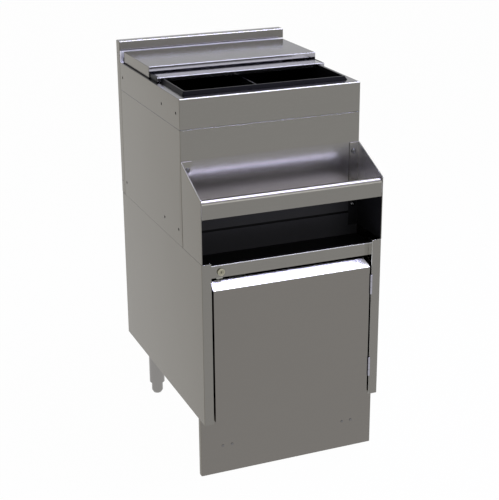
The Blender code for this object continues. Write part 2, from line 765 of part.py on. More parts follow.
def lids():
    """The upper rear lid on its glides and the lower front lid, notched for the collar, on its runners."""
    rear_half = HALF - REAR_LID_INSET
    rear_back = SPLASH_FRONT - REAR_LID_GAP
    rear_front = rear_back - REAR_LID_DEPTH
    rear_top = RIM_TOP + REAR_LID_RISE
    flange_bottom = RIM_TOP + REAR_LID_FLANGE_GAP
    front_bottom = COLLAR_TOP + FIT
    front_top = front_bottom + FRONT_LID_HEM

    rear = pan(
        "rear_lid", (-rear_half, rear_front, flange_bottom), (rear_half, rear_back, rear_top),
        ("-z",), "satin_stainless",
    )
    passage = rear_half - SHEET
    cut(rear, block(
        (-passage, rear_front - MARGIN, RIM_TOP - MARGIN),
        (passage, rear_back + MARGIN, front_top + LID_PASS),
    ))
    deck = RIM_TOP + FIT
    glide = [
        (rear_front, deck),
        (rear_back + GLIDE_END, deck),
        (rear_back + GLIDE_END, deck + GLIDE_END_HEIGHT),
        (rear_back + FIT, deck + GLIDE_END_HEIGHT),
        (rear_back + FIT, flange_bottom - FIT),
        (rear_front, flange_bottom - FIT),
    ]
    moving_rear = [rear]
    glide_inner, glide_outer = rear_half - GLIDE_INSIDE, rear_half + GLIDE_OUTSIDE
    for side, start, end in (
        ("left", -glide_outer, -glide_inner), ("right", glide_inner, glide_outer)
    ):
        moving_rear.append(part(f"rear_lid_glide_{side}", prism(glide, "X", start, end), "black_plastic"))
    on_axis("rear_lid_slide", (0, rear_front, RIM_TOP), moving_rear)

    front_half = HALF - FRONT_LID_INSET
    ear_half = front_half + FIT + RUNNER_WIDTH
    front_front = rear_front - FRONT_LID_SHOWS
    front_back = front_front + FRONT_LID_DEPTH
    lip_bottom = front_top - FRONT_LID_FLANGE
    lip_rear = front_front + 2 * FRONT_LID_BEND
    path = [
        (front_back, front_bottom),
        (front_back, front_top),
        (front_front, front_top),
        (front_front, lip_bottom),
    ]
    front = sheet(
        "front_lid", path, "X", -ear_half, ear_half, "satin_stainless", bend=FRONT_LID_BEND
    )
    flange_half = HALF - RIM_SIDE - liner_inset(COLLAR_TOP) - FLANGE_CLEARANCE
    ear_low = HALF - RIM_SIDE + EAR_CLEARANCE
    notch_top = front_top - FRONT_LID_BEND - SHEET
    notch = [
        (flange_half, lip_bottom - MARGIN),
        (ear_low, lip_bottom - MARGIN),
        (ear_low, lip_bottom),
        (ear_low - COLLAR_TAPER, notch_top),
        (flange_half, notch_top),
    ]
    runner_room = [
        (front_half, lip_rear),
        (HALF + MARGIN, lip_rear),
        (HALF + MARGIN, front_back + MARGIN),
        (front_half, front_back + MARGIN),
    ]
    for opening, room in ((notch, runner_room), (mirrored(notch), mirrored(runner_room))):
        cut(front, prism(opening, "Y", front_front - MARGIN, lip_rear))
        cut(front, prism(room, "Z", RIM_TOP, rear_top))
    moving_front = [front]
    nose = RUNNER_WIDTH / 2
    middle = front_half + FIT + nose
    round_end = arc((middle, lip_rear + FIT + nose), nose, 180, 360, CORNER_STEPS)
    runner = [*round_end, (middle + nose, front_back), (middle - nose, front_back)]
    for side, outline in (("left", mirrored(runner)), ("right", runner)):
        mesh = prism(outline, "Z", deck, front_top)
        moving_front.append(part(f"front_lid_runner_{side}", mesh, "black_plastic"))
    on_axis("front_lid_slide", (0, front_front, RIM_TOP), moving_front)


def inset_outline(points, distance):
    """A convex outline, in anticlockwise order, drawn in by a distance on every side."""
    lines = []
    for (ax, ay), (bx, by) in zip(points, points[1:] + points[:1]):
        length = math.hypot(bx - ax, by - ay)
        normal = (-(by - ay) / length, (bx - ax) / length)
        lines.append((normal, normal[0] * ax + normal[1] * ay + distance))
    inner = []
    for ((px, py), p), ((qx, qy), q) in zip([lines[-1], *lines[:-1]], lines):
        det = px * qy - py * qx
        inner.append(((p * qy - q * py) / det, (px * q - qx * p) / det))
    return inner


def door():
    """Hollow door with a sloping finger pull, its inner panel, hinges, strike and magnet catch."""
    pull_top = DOOR_FACE_TOP + DOOR_PULL_RISE
    outline = [
        (FRONT, DOOR_BOTTOM),
        (DOOR_REAR, DOOR_BOTTOM),
        (DOOR_REAR, pull_top),
        (FRONT, DOOR_FACE_TOP),
    ]
    skin = part("door_skin", prism(outline, "X", -DOOR_HALF, DOOR_HALF), "satin_stainless")
    rounding = skin.modifiers.new("bend", "BEVEL")
    rounding.width = BEND
    rounding.segments = BEND_STEPS
    inner = inset_outline(outline, SHEET)
    cut(skin, prism(inner, "X", SHEET - DOOR_HALF, DOOR_HALF - SHEET))
    window_half = DOOR_HALF - DOOR_FLANGE
    cut(skin, block(
        (-window_half, DOOR_REAR - 2 * SHEET, DOOR_BOTTOM + DOOR_FLANGE),
        (window_half, DOOR_REAR + MARGIN, pull_top - DOOR_FLANGE),
    ))
    reach = 2.0
    mitre = [
        (DOOR_HALF + SHEET, DOOR_FACE_TOP - SHEET),
        (DOOR_HALF + MARGIN, DOOR_FACE_TOP - SHEET),
        (DOOR_HALF + MARGIN, DOOR_FACE_TOP + reach * DOOR_PULL_RISE),
        (DOOR_HALF - reach * DOOR_MITRE, DOOR_FACE_TOP + reach * DOOR_PULL_RISE),
    ]
    cut(skin, prism(mitre, "Y", FRONT - MARGIN, DOOR_REAR + MARGIN))

    liner_half = DOOR_HALF - DOOR_LINER_INSET
    liner_low = (-liner_half, DOOR_REAR + FIT, DOOR_BOTTOM + DOOR_LINER_INSET)
    liner_high = (liner_half - DOOR_MITRE, DOOR_LINER_REAR, DOOR_LINER_TOP)
    liner = part("door_liner", block(liner_low, liner_high), "satin_stainless")

    strike_top = DOOR_LINER_TOP - STRIKE_BELOW_LINER_TOP
    strike_face = DOOR_LINER_REAR + FIT
    left = LATCH_FROM_EDGE - LATCH_WIDTH / 2 - DOOR_HALF
    right = left + LATCH_WIDTH
    strike = part("strike_plate", block(
        (left, strike_face, strike_top - STRIKE_HEIGHT), (right, strike_face + STRIKE_SHEET, strike_top)
    ), "zinc_plated")
    magnet_face = strike_face + STRIKE_SHEET + FIT
    magnet_rear = magnet_face + MAGNET_DEPTH
    magnet_top = strike_top - (STRIKE_HEIGHT - MAGNET_HEIGHT) / 2
    part("door_magnet", block(
        (left, magnet_face, magnet_top - MAGNET_HEIGHT), (right, magnet_rear, magnet_top), BEND / 2
    ), "black_magnet")
    arm = magnet_rear + FIT
    hung_from = TRAY_FLOOR - SHEET - FIT
    bracket = [
        (arm + LATCH_FLANGE, hung_from),
        (arm, hung_from),
        (arm, magnet_top - MAGNET_HEIGHT),
    ]
    sheet("catch_bracket", bracket, "X", left, right, "zinc_plated")

    leaves = [hinge(height, index) for index, height in enumerate(HINGE_HEIGHTS, 1)]
    on_axis("door_swing", (*hinge_axis(), 0), [skin, liner, strike, *leaves])


def hinge_axis():
    return STILE_INNER - HINGE_FROM_STILE, FRONT - HINGE_PROUD


def hinge(height, index):
    """One butt hinge: a leaf on the stile, a leaf on the door and the pin. Returns the door's leaf."""
    x, y = hinge_axis()
    low = height - HINGE_LENGTH / 2
    pitch = (HINGE_LENGTH + FIT) / HINGE_KNUCKLES
    spans = [(low + i * pitch, low + (i + 1) * pitch - FIT) for i in range(HINGE_KNUCKLES)]
    plate_front = y + HINGE_BARREL + FIT
    plate_rear = FRONT + HINGE_LEAF_DEPTH
    bore = HINGE_PIN + HINGE_PIN_CLEARANCE
    made = {}
    for owner, outer, knuckles in (
        ("frame", STILE_INNER - FIT, spans[0::2]),
        ("door", DOOR_HALF + FIT + HINGE_LEAF, spans[1::2]),
    ):
        inner = outer - HINGE_LEAF
        plate = block((inner, plate_front, low), (outer, plate_rear, low + HINGE_LENGTH))
        leaf = part(f"hinge_{owner}_leaf_{index}", plate, "satin_stainless")
        nearest = 0.0 if inner < x < outer else min(abs(inner - x), abs(outer - x))
        neck_front = y + math.sqrt(max(0.0, (bore + FIT) ** 2 - nearest ** 2))
        for bottom, top in knuckles:
            join(leaf, block((inner, neck_front, bottom), (outer, plate_front + FIT, top)))
            join(leaf, rod(HINGE_BARREL, (x, y, bottom), (x, y, top), SMALL_STEPS))
        cut(leaf, rod(bore, (x, y, low - MARGIN), (x, y, low + HINGE_LENGTH + MARGIN), SMALL_STEPS))
        made[owner] = leaf
    top, bottom = low + HINGE_LENGTH + FIT, low - FIT
    pin = [
        (0, top + HINGE_PIN_HEAD_HEIGHT),
        (HINGE_PIN_HEAD, top + HINGE_PIN_HEAD_HEIGHT),
        (HINGE_PIN_HEAD, top),
        (HINGE_PIN, top),
        (HINGE_PIN, bottom),
        (HINGE_PIN_HEAD, bottom),
        (HINGE_PIN_HEAD, bottom - HINGE_PIN_HEAD_HEIGHT),
        (0, bottom - HINGE_PIN_HEAD_HEIGHT),
    ]
    turned(f"hinge_pin_{index}", pin, (x, y, 0), "satin_stainless", steps=SMALL_STEPS)
    return made["door"]


def lock():
    """Cam lock in the header rail: housing, nut behind the rail, key plug and cam."""
    x, z = LOCK_X, LOCK_HEIGHT
    place = (x, HEADER_FACE, z)
    bore = LOCK_PLUG + FIT
    housing = [
        (bore, LOCK_PROUD),
        (LOCK_HEAD - LOCK_CHAMFER, LOCK_PROUD),
        (LOCK_HEAD, LOCK_PROUD - LOCK_CHAMFER),
        (LOCK_HEAD, FIT),
        (LOCK_BODY, FIT),
        (LOCK_BODY, -LOCK_BODY_LENGTH),
        (bore, -LOCK_BODY_LENGTH),
    ]
    turned("lock_housing", housing, place, "nickel", closed=True, towards_front=True)
    nut_front = HEADER_FACE + SHEET + FIT
    nut_rear = nut_front + LOCK_NUT_HEIGHT
    nut = part("lock_nut", rod(LOCK_NUT, (x, nut_front, z), (x, nut_rear, z), 6), "zinc_plated")
    cut(nut, rod(LOCK_BODY + FIT, (x, nut_front - MARGIN, z), (x, nut_rear + MARGIN, z)))

    plug_face = LOCK_PROUD - LOCK_PLUG_SUNK
    plug_profile = [
        (0, plug_face), (LOCK_PLUG, plug_face), (LOCK_PLUG, -LOCK_BODY_LENGTH), (0, -LOCK_BODY_LENGTH)
    ]
    plug = turned("lock_plug", plug_profile, place, "nickel", towards_front=True)
    keyway_rear = HEADER_FACE - plug_face + KEYWAY_DEPTH
    keyway = block(
        (x - KEYWAY_WIDTH / 2, HEADER_FACE - LOCK_PROUD - MARGIN, z - KEYWAY_LENGTH / 2),
        (x + KEYWAY_WIDTH / 2, keyway_rear, z + KEYWAY_LENGTH / 2),
    )
    cut(plug, keyway)
    cam_front = HEADER_FACE + LOCK_BODY_LENGTH + FIT
    half_angle = math.degrees(math.asin(CAM_HALF_WIDTH / CAM_REACH))
    tip = arc((x, z), CAM_REACH, -90 - half_angle, -90 + half_angle, CORNER_STEPS)
    hub = arc((x, z), CAM_HALF_WIDTH, 0, 180, CORNER_STEPS)
    cam = part("lock_cam", prism([*tip, *hub], "Y", cam_front, cam_front + CAM_SHEET), "zinc_plated")
    on_axis("lock_turn", place, [plug, cam])


def kick_plate():
    """Toe-kick plate, the brackets that hang it under the floor, and its screws."""
    path = [
        (-HALF, KICK_FACE + KICK_RETURN),
        (-HALF, KICK_FACE),
        (HALF, KICK_FACE),
        (HALF, KICK_FACE + KICK_RETURN),
    ]
    top = CABINET_BOTTOM - FIT
    plate = sheet("kick_plate", path, "Z", KICK_GAP, top, "satin_stainless")
    tab = KICK_FACE + SHEET + FIT
    bracket_path = [
        (tab + KICK_BRACKET_FLANGE, top),
        (tab, top),
        (tab, KICK_SCREW_HEIGHT - KICK_BRACKET_BELOW_SCREW),
    ]
    bracket_x = HALF - KICK_BRACKET_INSET
    for side, middle in (("left", -bracket_x), ("right", bracket_x)):
        edge = KICK_BRACKET_WIDTH / 2
        bracket = sheet(
            f"kick_bracket_{side}", bracket_path, "X", middle - edge, middle + edge, "zinc_plated"
        )
        for index, x in enumerate((middle - KICK_SCREW_PITCH / 2, middle + KICK_SCREW_PITCH / 2), 1):
            start, end = (x, KICK_FACE - MARGIN, KICK_SCREW_HEIGHT), (x, tab + MARGIN, KICK_SCREW_HEIGHT)
            for holed in (plate, bracket):
                cut(holed, rod(KICK_SCREW_SHANK + BOLT_CLEARANCE, start, end, SMALL_STEPS))
            dome_screw(
                f"kick_screw_{side}_{index}", KICK_SCREW_HEAD, KICK_SCREW_DOME, KICK_SCREW_SHANK,
                KICK_SCREW_LENGTH, (x, KICK_FACE - FIT, KICK_SCREW_HEIGHT), "zinc_plated",
            )


def legs():
    """Four tube legs under the floor, each with a levelling foot on a threaded stem."""
    top = CABINET_BOTTOM - FIT
    under_plate = top - LEG_PLATE_HEIGHT
    tube_end = FOOT_HEIGHT + FIT
    bore = FOOT_STEM + STEM_CLEARANCE
    inside = LEG_TUBE - LEG_WALL
    leg = [
        (0, top),
        (LEG_PLATE, top),
        (LEG_PLATE, under_plate),
        (LEG_TUBE, under_plate),
        (LEG_TUBE, tube_end),
        (bore, tube_end),
        (bore, tube_end + LEG_PLUG_HEIGHT),
        (inside, tube_end + LEG_PLUG_HEIGHT),
        (inside, under_plate),
        (0, under_plate),
    ]
    stem_top = FOOT_HEIGHT + FOOT_STEM_LENGTH
    foot = [
        (0, stem_top),
        (FOOT_STEM, stem_top),
        (FOOT_STEM, FOOT_HEIGHT),
        (FOOT_RADIUS, FOOT_HEIGHT),
        (FOOT_RADIUS, FOOT_TIP_HEIGHT),
        (FOOT_TIP, 0),
        (0, 0),
    ]
    leg_x = HALF - LEG_FROM_SIDE
    for end, y in (("front", FRONT + LEG_FROM_END), ("rear", BACK - LEG_FROM_END)):
        for side, x in (("left", -leg_x), ("right", leg_x)):
            place = (x, y, 0)
            turned(f"leg_{end}_{side}", leg, place, "satin_stainless")
            turned(f"foot_{end}_{side}", foot, place, "satin_stainless")


cabinet_shell()
speed_rail()
chest()
bin_and_drain()
lids()
door()
lock()
kick_plate()
legs()
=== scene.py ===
import math

import bmesh
import bpy
from mathutils import Matrix, Vector


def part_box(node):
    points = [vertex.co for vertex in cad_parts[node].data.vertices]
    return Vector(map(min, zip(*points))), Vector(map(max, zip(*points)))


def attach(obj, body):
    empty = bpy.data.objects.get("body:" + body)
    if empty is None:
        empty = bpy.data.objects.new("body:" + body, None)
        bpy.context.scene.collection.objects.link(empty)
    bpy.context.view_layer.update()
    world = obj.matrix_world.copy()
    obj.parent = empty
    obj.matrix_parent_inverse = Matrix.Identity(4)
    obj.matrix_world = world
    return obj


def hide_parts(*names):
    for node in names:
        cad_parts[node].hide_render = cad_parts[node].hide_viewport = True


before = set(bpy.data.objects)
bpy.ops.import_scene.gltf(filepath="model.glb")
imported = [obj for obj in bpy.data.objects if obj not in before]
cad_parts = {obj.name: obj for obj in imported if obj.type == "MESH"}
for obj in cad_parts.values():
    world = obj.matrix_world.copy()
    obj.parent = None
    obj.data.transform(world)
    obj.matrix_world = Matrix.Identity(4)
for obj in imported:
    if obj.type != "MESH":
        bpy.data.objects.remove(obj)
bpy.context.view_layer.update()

# Legs: stainless tube, 41 mm across, welded under a round plate that is screwed to the
# cabinet floor. The lower end is closed by a turned plug with a thread for the foot.


def linear(hex_colour):
    """An sRGB hex colour as linear RGBA."""
    parts = [int(hex_colour[i:i + 2], 16) / 255 for i in (1, 3, 5)]
    return (*[c / 12.92 if c <= 0.04045 else ((c + 0.055) / 1.055) ** 2.4 for c in parts], 1.0)


def shades(colour, *shares):
    """Darker and lighter shades of an sRGB hex colour, as linear RGBA."""
    return [(*[c * share for c in linear(colour)[:3]], 1.0) for share in shares]


def add_node(tree, kind, inputs=None, **settings):
    """Adds a node, sets it up and links or fills its inputs."""
    node = tree.nodes.new(kind)
    for name, value in settings.items():
        setattr(node, name, value)
    for name, value in (inputs or {}).items():
        if isinstance(value, bpy.types.NodeSocket):
            tree.links.new(value, node.inputs[name])
        else:
            node.inputs[name].default_value = value
    return node


def empty_material(name):
    """A material without nodes, and its tree."""
    material = bpy.data.materials.new(name)
    material.use_nodes = True
    material.node_tree.nodes.clear()
    return material, material.node_tree


def satin_stainless(name, colour, grain, dull=0.13, duller=0.20, glancing="#FFFFFF"):
    """Stainless sheet with a fine belt-ground satin finish: a soft grey mirror whose faint
    streaks follow the belt. The real streaks are about 0.1 mm wide and are drawn at 0.9 mm.
    Dull and duller are the limits of its roughness, and glancing its tint at a low angle."""
    streak_width, streak_length, cloud = 0.0009, 0.12, 0.17
    material, tree = empty_material(name)
    place = add_node(tree, "ShaderNodeTexCoord").outputs["Object"]
    sizes = [1 / (streak_length if axis == grain else streak_width) for axis in "XYZ"]
    along = add_node(tree, "ShaderNodeMapping", {"Vector": place, "Scale": sizes})
    streaks = add_node(tree, "ShaderNodeTexNoise", {
        "Vector": along.outputs[0], "Scale": 1.0, "Detail": 3.0, "Roughness": 0.6})
    clouds = add_node(tree, "ShaderNodeTexNoise", {
        "Vector": place, "Scale": 1 / cloud, "Detail": 2.0, "Roughness": 0.45})
    deep, pale = shades(colour, 0.95, 1.05)
    tint = add_node(tree, "ShaderNodeMix", {
        0: streaks.outputs[0], 6: deep, 7: pale}, data_type="RGBA")
    gloss = add_node(tree, "ShaderNodeMath", {
        0: streaks.outputs[0], 1: clouds.outputs[0]}, operation="ADD")
    rough = add_node(tree, "ShaderNodeMapRange", {
        0: gloss.outputs[0], 1: 0.6, 2: 1.4, 3: dull, 4: duller})
    bump = add_node(tree, "ShaderNodeBump", {
        "Strength": 0.06, "Distance": 0.00005, "Height": streaks.outputs[0]})
    shader = add_node(tree, "ShaderNodeBsdfPrincipled", {
        "Base Color": tint.outputs[2], "Metallic": 1.0, "Roughness": rough.outputs[0],
        "Specular Tint": linear(glancing), "Normal": bump.outputs[0]})
    add_node(tree, "ShaderNodeOutputMaterial", {"Surface": shader.outputs[0]})
    return material


def finish_piece(name, bm, materials, body, nodes):
    """Turns a shape into a piece that rides on a body and stands for its CAD solids."""
    for face in bm.faces:
        face.smooth = True
    mesh = bpy.data.meshes.new(name)
    bm.to_mesh(mesh)
    bm.free()
    for material in materials:
        mesh.materials.append(material)
    piece = bpy.data.objects.new(name, mesh)
    bpy.context.scene.collection.objects.link(piece)
    flat = piece.modifiers.new("flat faces", "WEIGHTED_NORMAL")
    flat.keep_sharp = True
    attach(piece, body)
    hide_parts(*nodes)


def turned_shape(profile, steps, place, ring=False):
    """A closed turned shape from (radius, height) points, from axis to axis or, for a ring,
    round its section."""
    bm = bmesh.new()
    rings = []
    for radius, height in profile:
        if radius == 0:
            rings.append([bm.verts.new((0, 0, height))])
        else:
            rings.append([
                bm.verts.new((
                    radius * math.cos(2 * math.pi * i / steps),
                    radius * math.sin(2 * math.pi * i / steps), height))
                for i in range(steps)])
    if ring:
        rings.append(rings[0])
    for upper, lower in zip(rings, rings[1:]):
        for i in range(steps):
            corners = [upper[i % len(upper)], upper[(i + 1) % len(upper)],
                       lower[(i + 1) % len(lower)], lower[i % len(lower)]]
            bm.faces.new(list(dict.fromkeys(corners)))
    bmesh.ops.recalc_face_normals(bm, faces=bm.faces)
    bm.transform(place)
    return bm


def standing_at(node):
    """The move from the origin to the middle of a CAD node, as seen from above."""
    low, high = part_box(node)
    return Matrix.Translation(((low.x + high.x) / 2, (low.y + high.y) / 2, 0))


def fillet(corner, radius, start, end, steps=5):
    """Points round a corner of a profile, from one angle to another, in degrees."""
    angles = [math.radians(start + (end - start) * i / steps) for i in range(steps + 1)]
    return [(corner[0] + radius * math.cos(a), corner[1] + radius * math.sin(a)) for a in angles]


# Drawn tube is a mid grey with its streaks along the tube.
tube_stainless = satin_stainless("satin stainless, tube", "#8A8886", "Z")
for end in ("front", "rear"):
    for side in ("left", "right"):
        leg_node = f"leg_{end}_{side}"
        low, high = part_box(leg_node)
        plate, tube, plate_height, weld = 0.038, 0.0206, 0.003, 0.003
        bore, plug_height, chamfer, round_off = 0.0068, 0.016, 0.0005, 0.0008
        under = high.z - plate_height
        leg_profile = [
            (0, high.z), (plate - chamfer, high.z), (plate, high.z - chamfer),
            *fillet((plate - round_off, under + round_off), round_off, 0, -90),
            *fillet((tube + weld, under - weld), weld, 90, 180),
            *fillet((tube - round_off, low.z + round_off), round_off, 0, -90),
            (bore, low.z), (bore, low.z + plug_height), (0, low.z + plug_height)]
        leg = turned_shape(leg_profile, 56, standing_at(leg_node))
        finish_piece(f"{leg_node}_tube", leg, [tube_stainless], "base",
                     [leg_node])


# Levelling feet: turned stainless, with a tapered tip that stands on the floor and a
# threaded stem that screws up into the leg, so that the bin can be set level.
foot_bodies = {"front_left": "foot_fl", "front_right": "foot_fr",
               "rear_left": "foot_rl", "rear_right": "foot_rr"}
for corner, foot_body in foot_bodies.items():
    foot_node = f"foot_{corner}"
    stem_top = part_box(foot_node)[1].z
    radius, tip, tip_height, shoulder = 0.0152, 0.0115, 0.007, 0.032
    crest, root, pitch, lead_in = 0.00635, 0.0055, 0.0018, 0.001
    crest_start, crest_end = 0.4 * pitch, 0.6 * pitch
    chamfer, ease, round_off = 0.0006, 0.0004, 0.0012
    teeth = int((stem_top - shoulder - 2 * lead_in) / pitch)
    thread = []
    for i in range(teeth):
        top = stem_top - lead_in - i * pitch
        thread += [(root, top), (crest, top - crest_start), (crest, top - crest_end)]
    foot_profile = [
        (0, stem_top), (root - chamfer, stem_top), *thread, (root, shoulder),
        *fillet((radius - round_off, shoulder - round_off), round_off, 90, 0),
        (radius, tip_height + chamfer), (radius - ease, tip_height - ease),
        *fillet((tip - round_off, round_off), round_off, -15, -90), (0, 0)]
    foot = turned_shape(foot_profile, 48, standing_at(foot_node))
    finish_piece(f"levelling_{foot_node}", foot, [tube_stainless], foot_body,
                 [foot_node])


# Cabinet: sides, floor and back of 1.2 mm stainless sheet, each cut flat and folded. The
# sides fold round the front into notched stiles and round the rear into flanges.


def eased(node, edge=0.00025):
    """A copy of a CAD piece with whole flats, smooth bends and its cut edges deburred."""
    same_place, flat, bend = 0.000002, math.radians(0.3), math.radians(40)
    bm = bmesh.new()
    bm.from_mesh(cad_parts[node].data)
    bmesh.ops.remove_doubles(bm, verts=bm.verts, dist=same_place)
    bmesh.ops.dissolve_limit(bm, angle_limit=flat, verts=bm.verts, edges=bm.edges)
    sharp = [e for e in bm.edges if e.is_manifold and e.calc_face_angle() > bend]
    bmesh.ops.bevel(bm, geom=sharp, offset=edge, segments=2, profile=0.5, affect="EDGES",
                    clamp_overlap=True)
    return bm


# The sheets are ground face by face, fronts along the front, sides upwards and tops
# across, so each way of facing has its own grain, and each is painted its own grey, as
# painted light and shade by facing. Bends and cut edges that look up along the front carry
# a painted highlight.
front_shade_stainless = satin_stainless("satin stainless, fronts", "#7C7A76", "X")
side_shade_stainless = satin_stainless("satin stainless, sides", "#625D53", "Z")
top_shade_stainless = satin_stainless("satin stainless, tops", "#7A797B", "X", glancing="#E2E2E4")
bend_highlight_stainless = satin_stainless("stainless with painted highlight, bends", "#D6D6DC", "X")
facing_shade_stainless = [front_shade_stainless, side_shade_stainless, top_shade_stainless, bend_highlight_stainless]


def is_slim(face, width=0.0016):
    """Whether a face is a strip of less than this width: a cut edge or part of a bend."""
    return 2 * face.calc_area() < width * face.calc_perimeter()


# A face looks a way barely, or mostly, where more than this share of its normal goes that way.
barely, slightly, tilted, partly, mostly, squarely = 0.09, 0.2, 0.25, 0.3, 0.7, 0.9


def shaded_by_facing(node, edge=0.00025):
    """An eased sheet whose faces take the grain and the painted shade of the way that they look."""
    bm = eased(node, edge)
    for face in bm.faces:
        across, _, upward = (abs(part) for part in face.normal)
        # Bends and cut edges that look up get a painted highlight.
        painted_highlight = is_slim(face) and face.normal.z > tilted and across < partly
        face.material_index = 3 if painted_highlight else 1 if across > mostly else 2 if upward > mostly else 0
    return bm


for node in ("cabinet_back", "cabinet_floor"):
    finish_piece(f"{node}_sheet", shaded_by_facing(node), facing_shade_stainless, "base",
                 [node])

# The stiles' returns, which show beside the header, are painted pale as painted light.
return_light_stainless = satin_stainless(
    "pale stainless as painted light, stile returns", "#F0F0EE", "Z", 0.06, 0.10)
return_depth = 0.024
for node, inner in (("cabinet_side_left", 1), ("cabinet_side_right", -1)):
    panel = shaded_by_facing(node)
    return_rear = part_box(node)[0].y + return_depth
    for face in panel.faces:
        if face.normal.x * inner > mostly and face.calc_center_median().y < return_rear:
            face.material_index = 4
    finish_piece(f"{node}_sheet", panel, [*facing_shade_stainless, return_light_stainless], "base",
                 [node])


# Header rail: a stainless strip with a folded top edge, set back between the stiles above
# the door so that fingers reach the pull. Its ears pass behind the stiles, and its folded
# edge carries a weaker painted highlight than other bends, so that its line stays grey.
header_edge_highlight = satin_stainless("stainless with weak painted highlight, header edge", "#B2B2B8", "X")
finish_piece("header_rail_sheet", shaded_by_facing("header_rail"), [
    *facing_shade_stainless[:3], header_edge_highlight], "base", ["header_rail"])


# Shelf tray: black moulded ABS that hooks over the header, drops to a sunken floor and
# turns up against the chest.


def grained_black(name, colour, roughness, grit):
    """Black plastic with the fine grain of a spark-eroded mould, also used black as painted shade
    in the bay under the rail: dark, with a soft dull sheen. The low gloss comes from a low index,
    and the roughness changes from patch to patch. Grit and patch are in metres."""
    patch = 0.0714
    material, tree = empty_material(name)
    place = add_node(tree, "ShaderNodeTexCoord").outputs["Object"]
    grains = add_node(tree, "ShaderNodeTexNoise", {
        "Vector": place, "Scale": 1 / grit, "Detail": 4.0, "Roughness": 0.65})
    patches = add_node(tree, "ShaderNodeTexNoise", {
        "Vector": place, "Scale": 1 / patch, "Detail": 2.0})
    deep, pale = shades(colour, 0.8, 1.25)
    tint = add_node(tree, "ShaderNodeMix", {
        0: grains.outputs[0], 6: deep, 7: pale}, data_type="RGBA")
    rough = add_node(tree, "ShaderNodeMapRange", {
        0: patches.outputs[0], 1: 0.3, 2: 0.7, 3: roughness - 0.04, 4: roughness + 0.05})
    bump = add_node(tree, "ShaderNodeBump", {
        "Strength": 0.2, "Distance": 0.0001, "Height": grains.outputs[0]})
    shader = add_node(tree, "ShaderNodeBsdfPrincipled", {
        "Base Color": tint.outputs[2], "Roughness": rough.outputs[0], "IOR": 1.12,
        "Normal": bump.outputs[0]})
    add_node(tree, "ShaderNodeOutputMaterial", {"Surface": shader.outputs[0]})
    return material


# The tray's rear wall is painted greyer than its floor, as painted light from the front.
tray_black_and_joint_shade = grained_black("black moulded ABS, tray", "#1C1C1D", 0.34, 0.0012)
tray_wall_light_black = grained_black("black moulded ABS, tray wall", "#4C4C50", 0.30, 0.0012)
tray = eased("shelf_tray", edge=0.0003)
for face in tray.faces:
    face.material_index = 1 if face.normal.y < -mostly else 0
finish_piece("shelf_tray_moulding", tray, [tray_black_and_joint_shade, tray_wall_light_black], "base",
             ["shelf_tray"])


# Kick plate: one folded sheet that hides the legs, hung on two zinc-plated brackets under
# the cabinet floor. It and the door are drawn a slightly darker grey than the fronts above,
# and the zinc plate is paler and duller than the sheet.
zinc_plated = satin_stainless("bright zinc plate", "#A3A29C", "Y", 0.25, 0.36)
lower_stainless = satin_stainless("satin stainless, lower fronts", "#777470", "X")
lower_facing_shade = [lower_stainless, *facing_shade_stainless[1:]]
finish_piece("kick_plate_sheet", shaded_by_facing("kick_plate"), lower_facing_shade, "base",
             ["kick_plate"])
for node in ("kick_bracket_left", "kick_bracket_right"):
    finish_piece(f"{node}_sheet", eased(node), [zinc_plated], "base", [node])


# Kick screws: four small zinc-plated screws with domed heads and hexagon sockets, through
# the plate into its brackets. The rail bolts below are the same thing in a larger size.


def new_tree(name, sizes):
    """An empty Geometry Nodes tree with a geometry, named sizes and a material going in."""
    tree = bpy.data.node_groups.new(name, "GeometryNodeTree")
    tree.interface.new_socket("Geometry", in_out="OUTPUT", socket_type="NodeSocketGeometry")
    tree.interface.new_socket("Geometry", in_out="INPUT", socket_type="NodeSocketGeometry")
    for size, kind in sizes.items():
        tree.interface.new_socket(size, in_out="INPUT", socket_type=f"NodeSocket{kind}")
    tree.interface.new_socket("Material", in_out="INPUT", socket_type="NodeSocketMaterial")
    return tree, add_node(tree, "NodeGroupInput").outputs


def run_tree(tree, start, values):
    """Runs a Geometry Nodes tree on a shape and returns the plain shape that comes out."""
    blank = bpy.data.meshes.new(tree.name)
    start.to_mesh(blank)
    start.free()
    carrier = bpy.data.objects.new(tree.name, blank)
    bpy.context.scene.collection.objects.link(carrier)
    maker = carrier.modifiers.new("maker", "NODES")
    maker.node_group = tree
    for item in tree.interface.items_tree:
        if item.in_out == "INPUT" and item.name in values:
            maker[item.identifier] = values[item.name]
    graph = bpy.context.evaluated_depsgraph_get()
    made = bmesh.new()
    made.from_mesh(bpy.data.meshes.new_from_object(carrier.evaluated_get(graph)))
    carrier.modifiers.remove(maker)
    bpy.data.objects.remove(carrier)
    return made


screw_tree, given = new_tree("dome headed screws", {
    "Head Radius": "Float", "Dome Height": "Float", "Shank Radius": "Float",
    "Shank Length": "Float", "Thread Turns": "Int", "Socket Radius": "Float",
    "Socket Depth": "Float"})
where = add_node(screw_tree, "GeometryNodeInputPosition").outputs[0]
part_of = add_node(screw_tree, "ShaderNodeSeparateXYZ", {0: where}).outputs

# A dome is a ball whose lower half is pressed flat.
ball = add_node(screw_tree, "GeometryNodeMeshUVSphere", {
    "Segments": 32, "Rings": 16, "Radius": 1.0})
above = add_node(screw_tree, "ShaderNodeMath", {0: part_of[2], 1: 0.0}, operation="MAXIMUM")
pressed = add_node(screw_tree, "ShaderNodeCombineXYZ", {
    0: part_of[0], 1: part_of[1], 2: above.outputs[0]})
head_size = add_node(screw_tree, "ShaderNodeCombineXYZ", {
    0: given["Head Radius"], 1: given["Head Radius"], 2: given["Dome Height"]})
domed = add_node(screw_tree, "ShaderNodeVectorMath", {
    0: pressed.outputs[0], 1: head_size.outputs[0]}, operation="MULTIPLY")
dome = add_node(screw_tree, "GeometryNodeSetPosition", {
    "Geometry": ball.outputs["Mesh"], "Position": domed.outputs[0]})

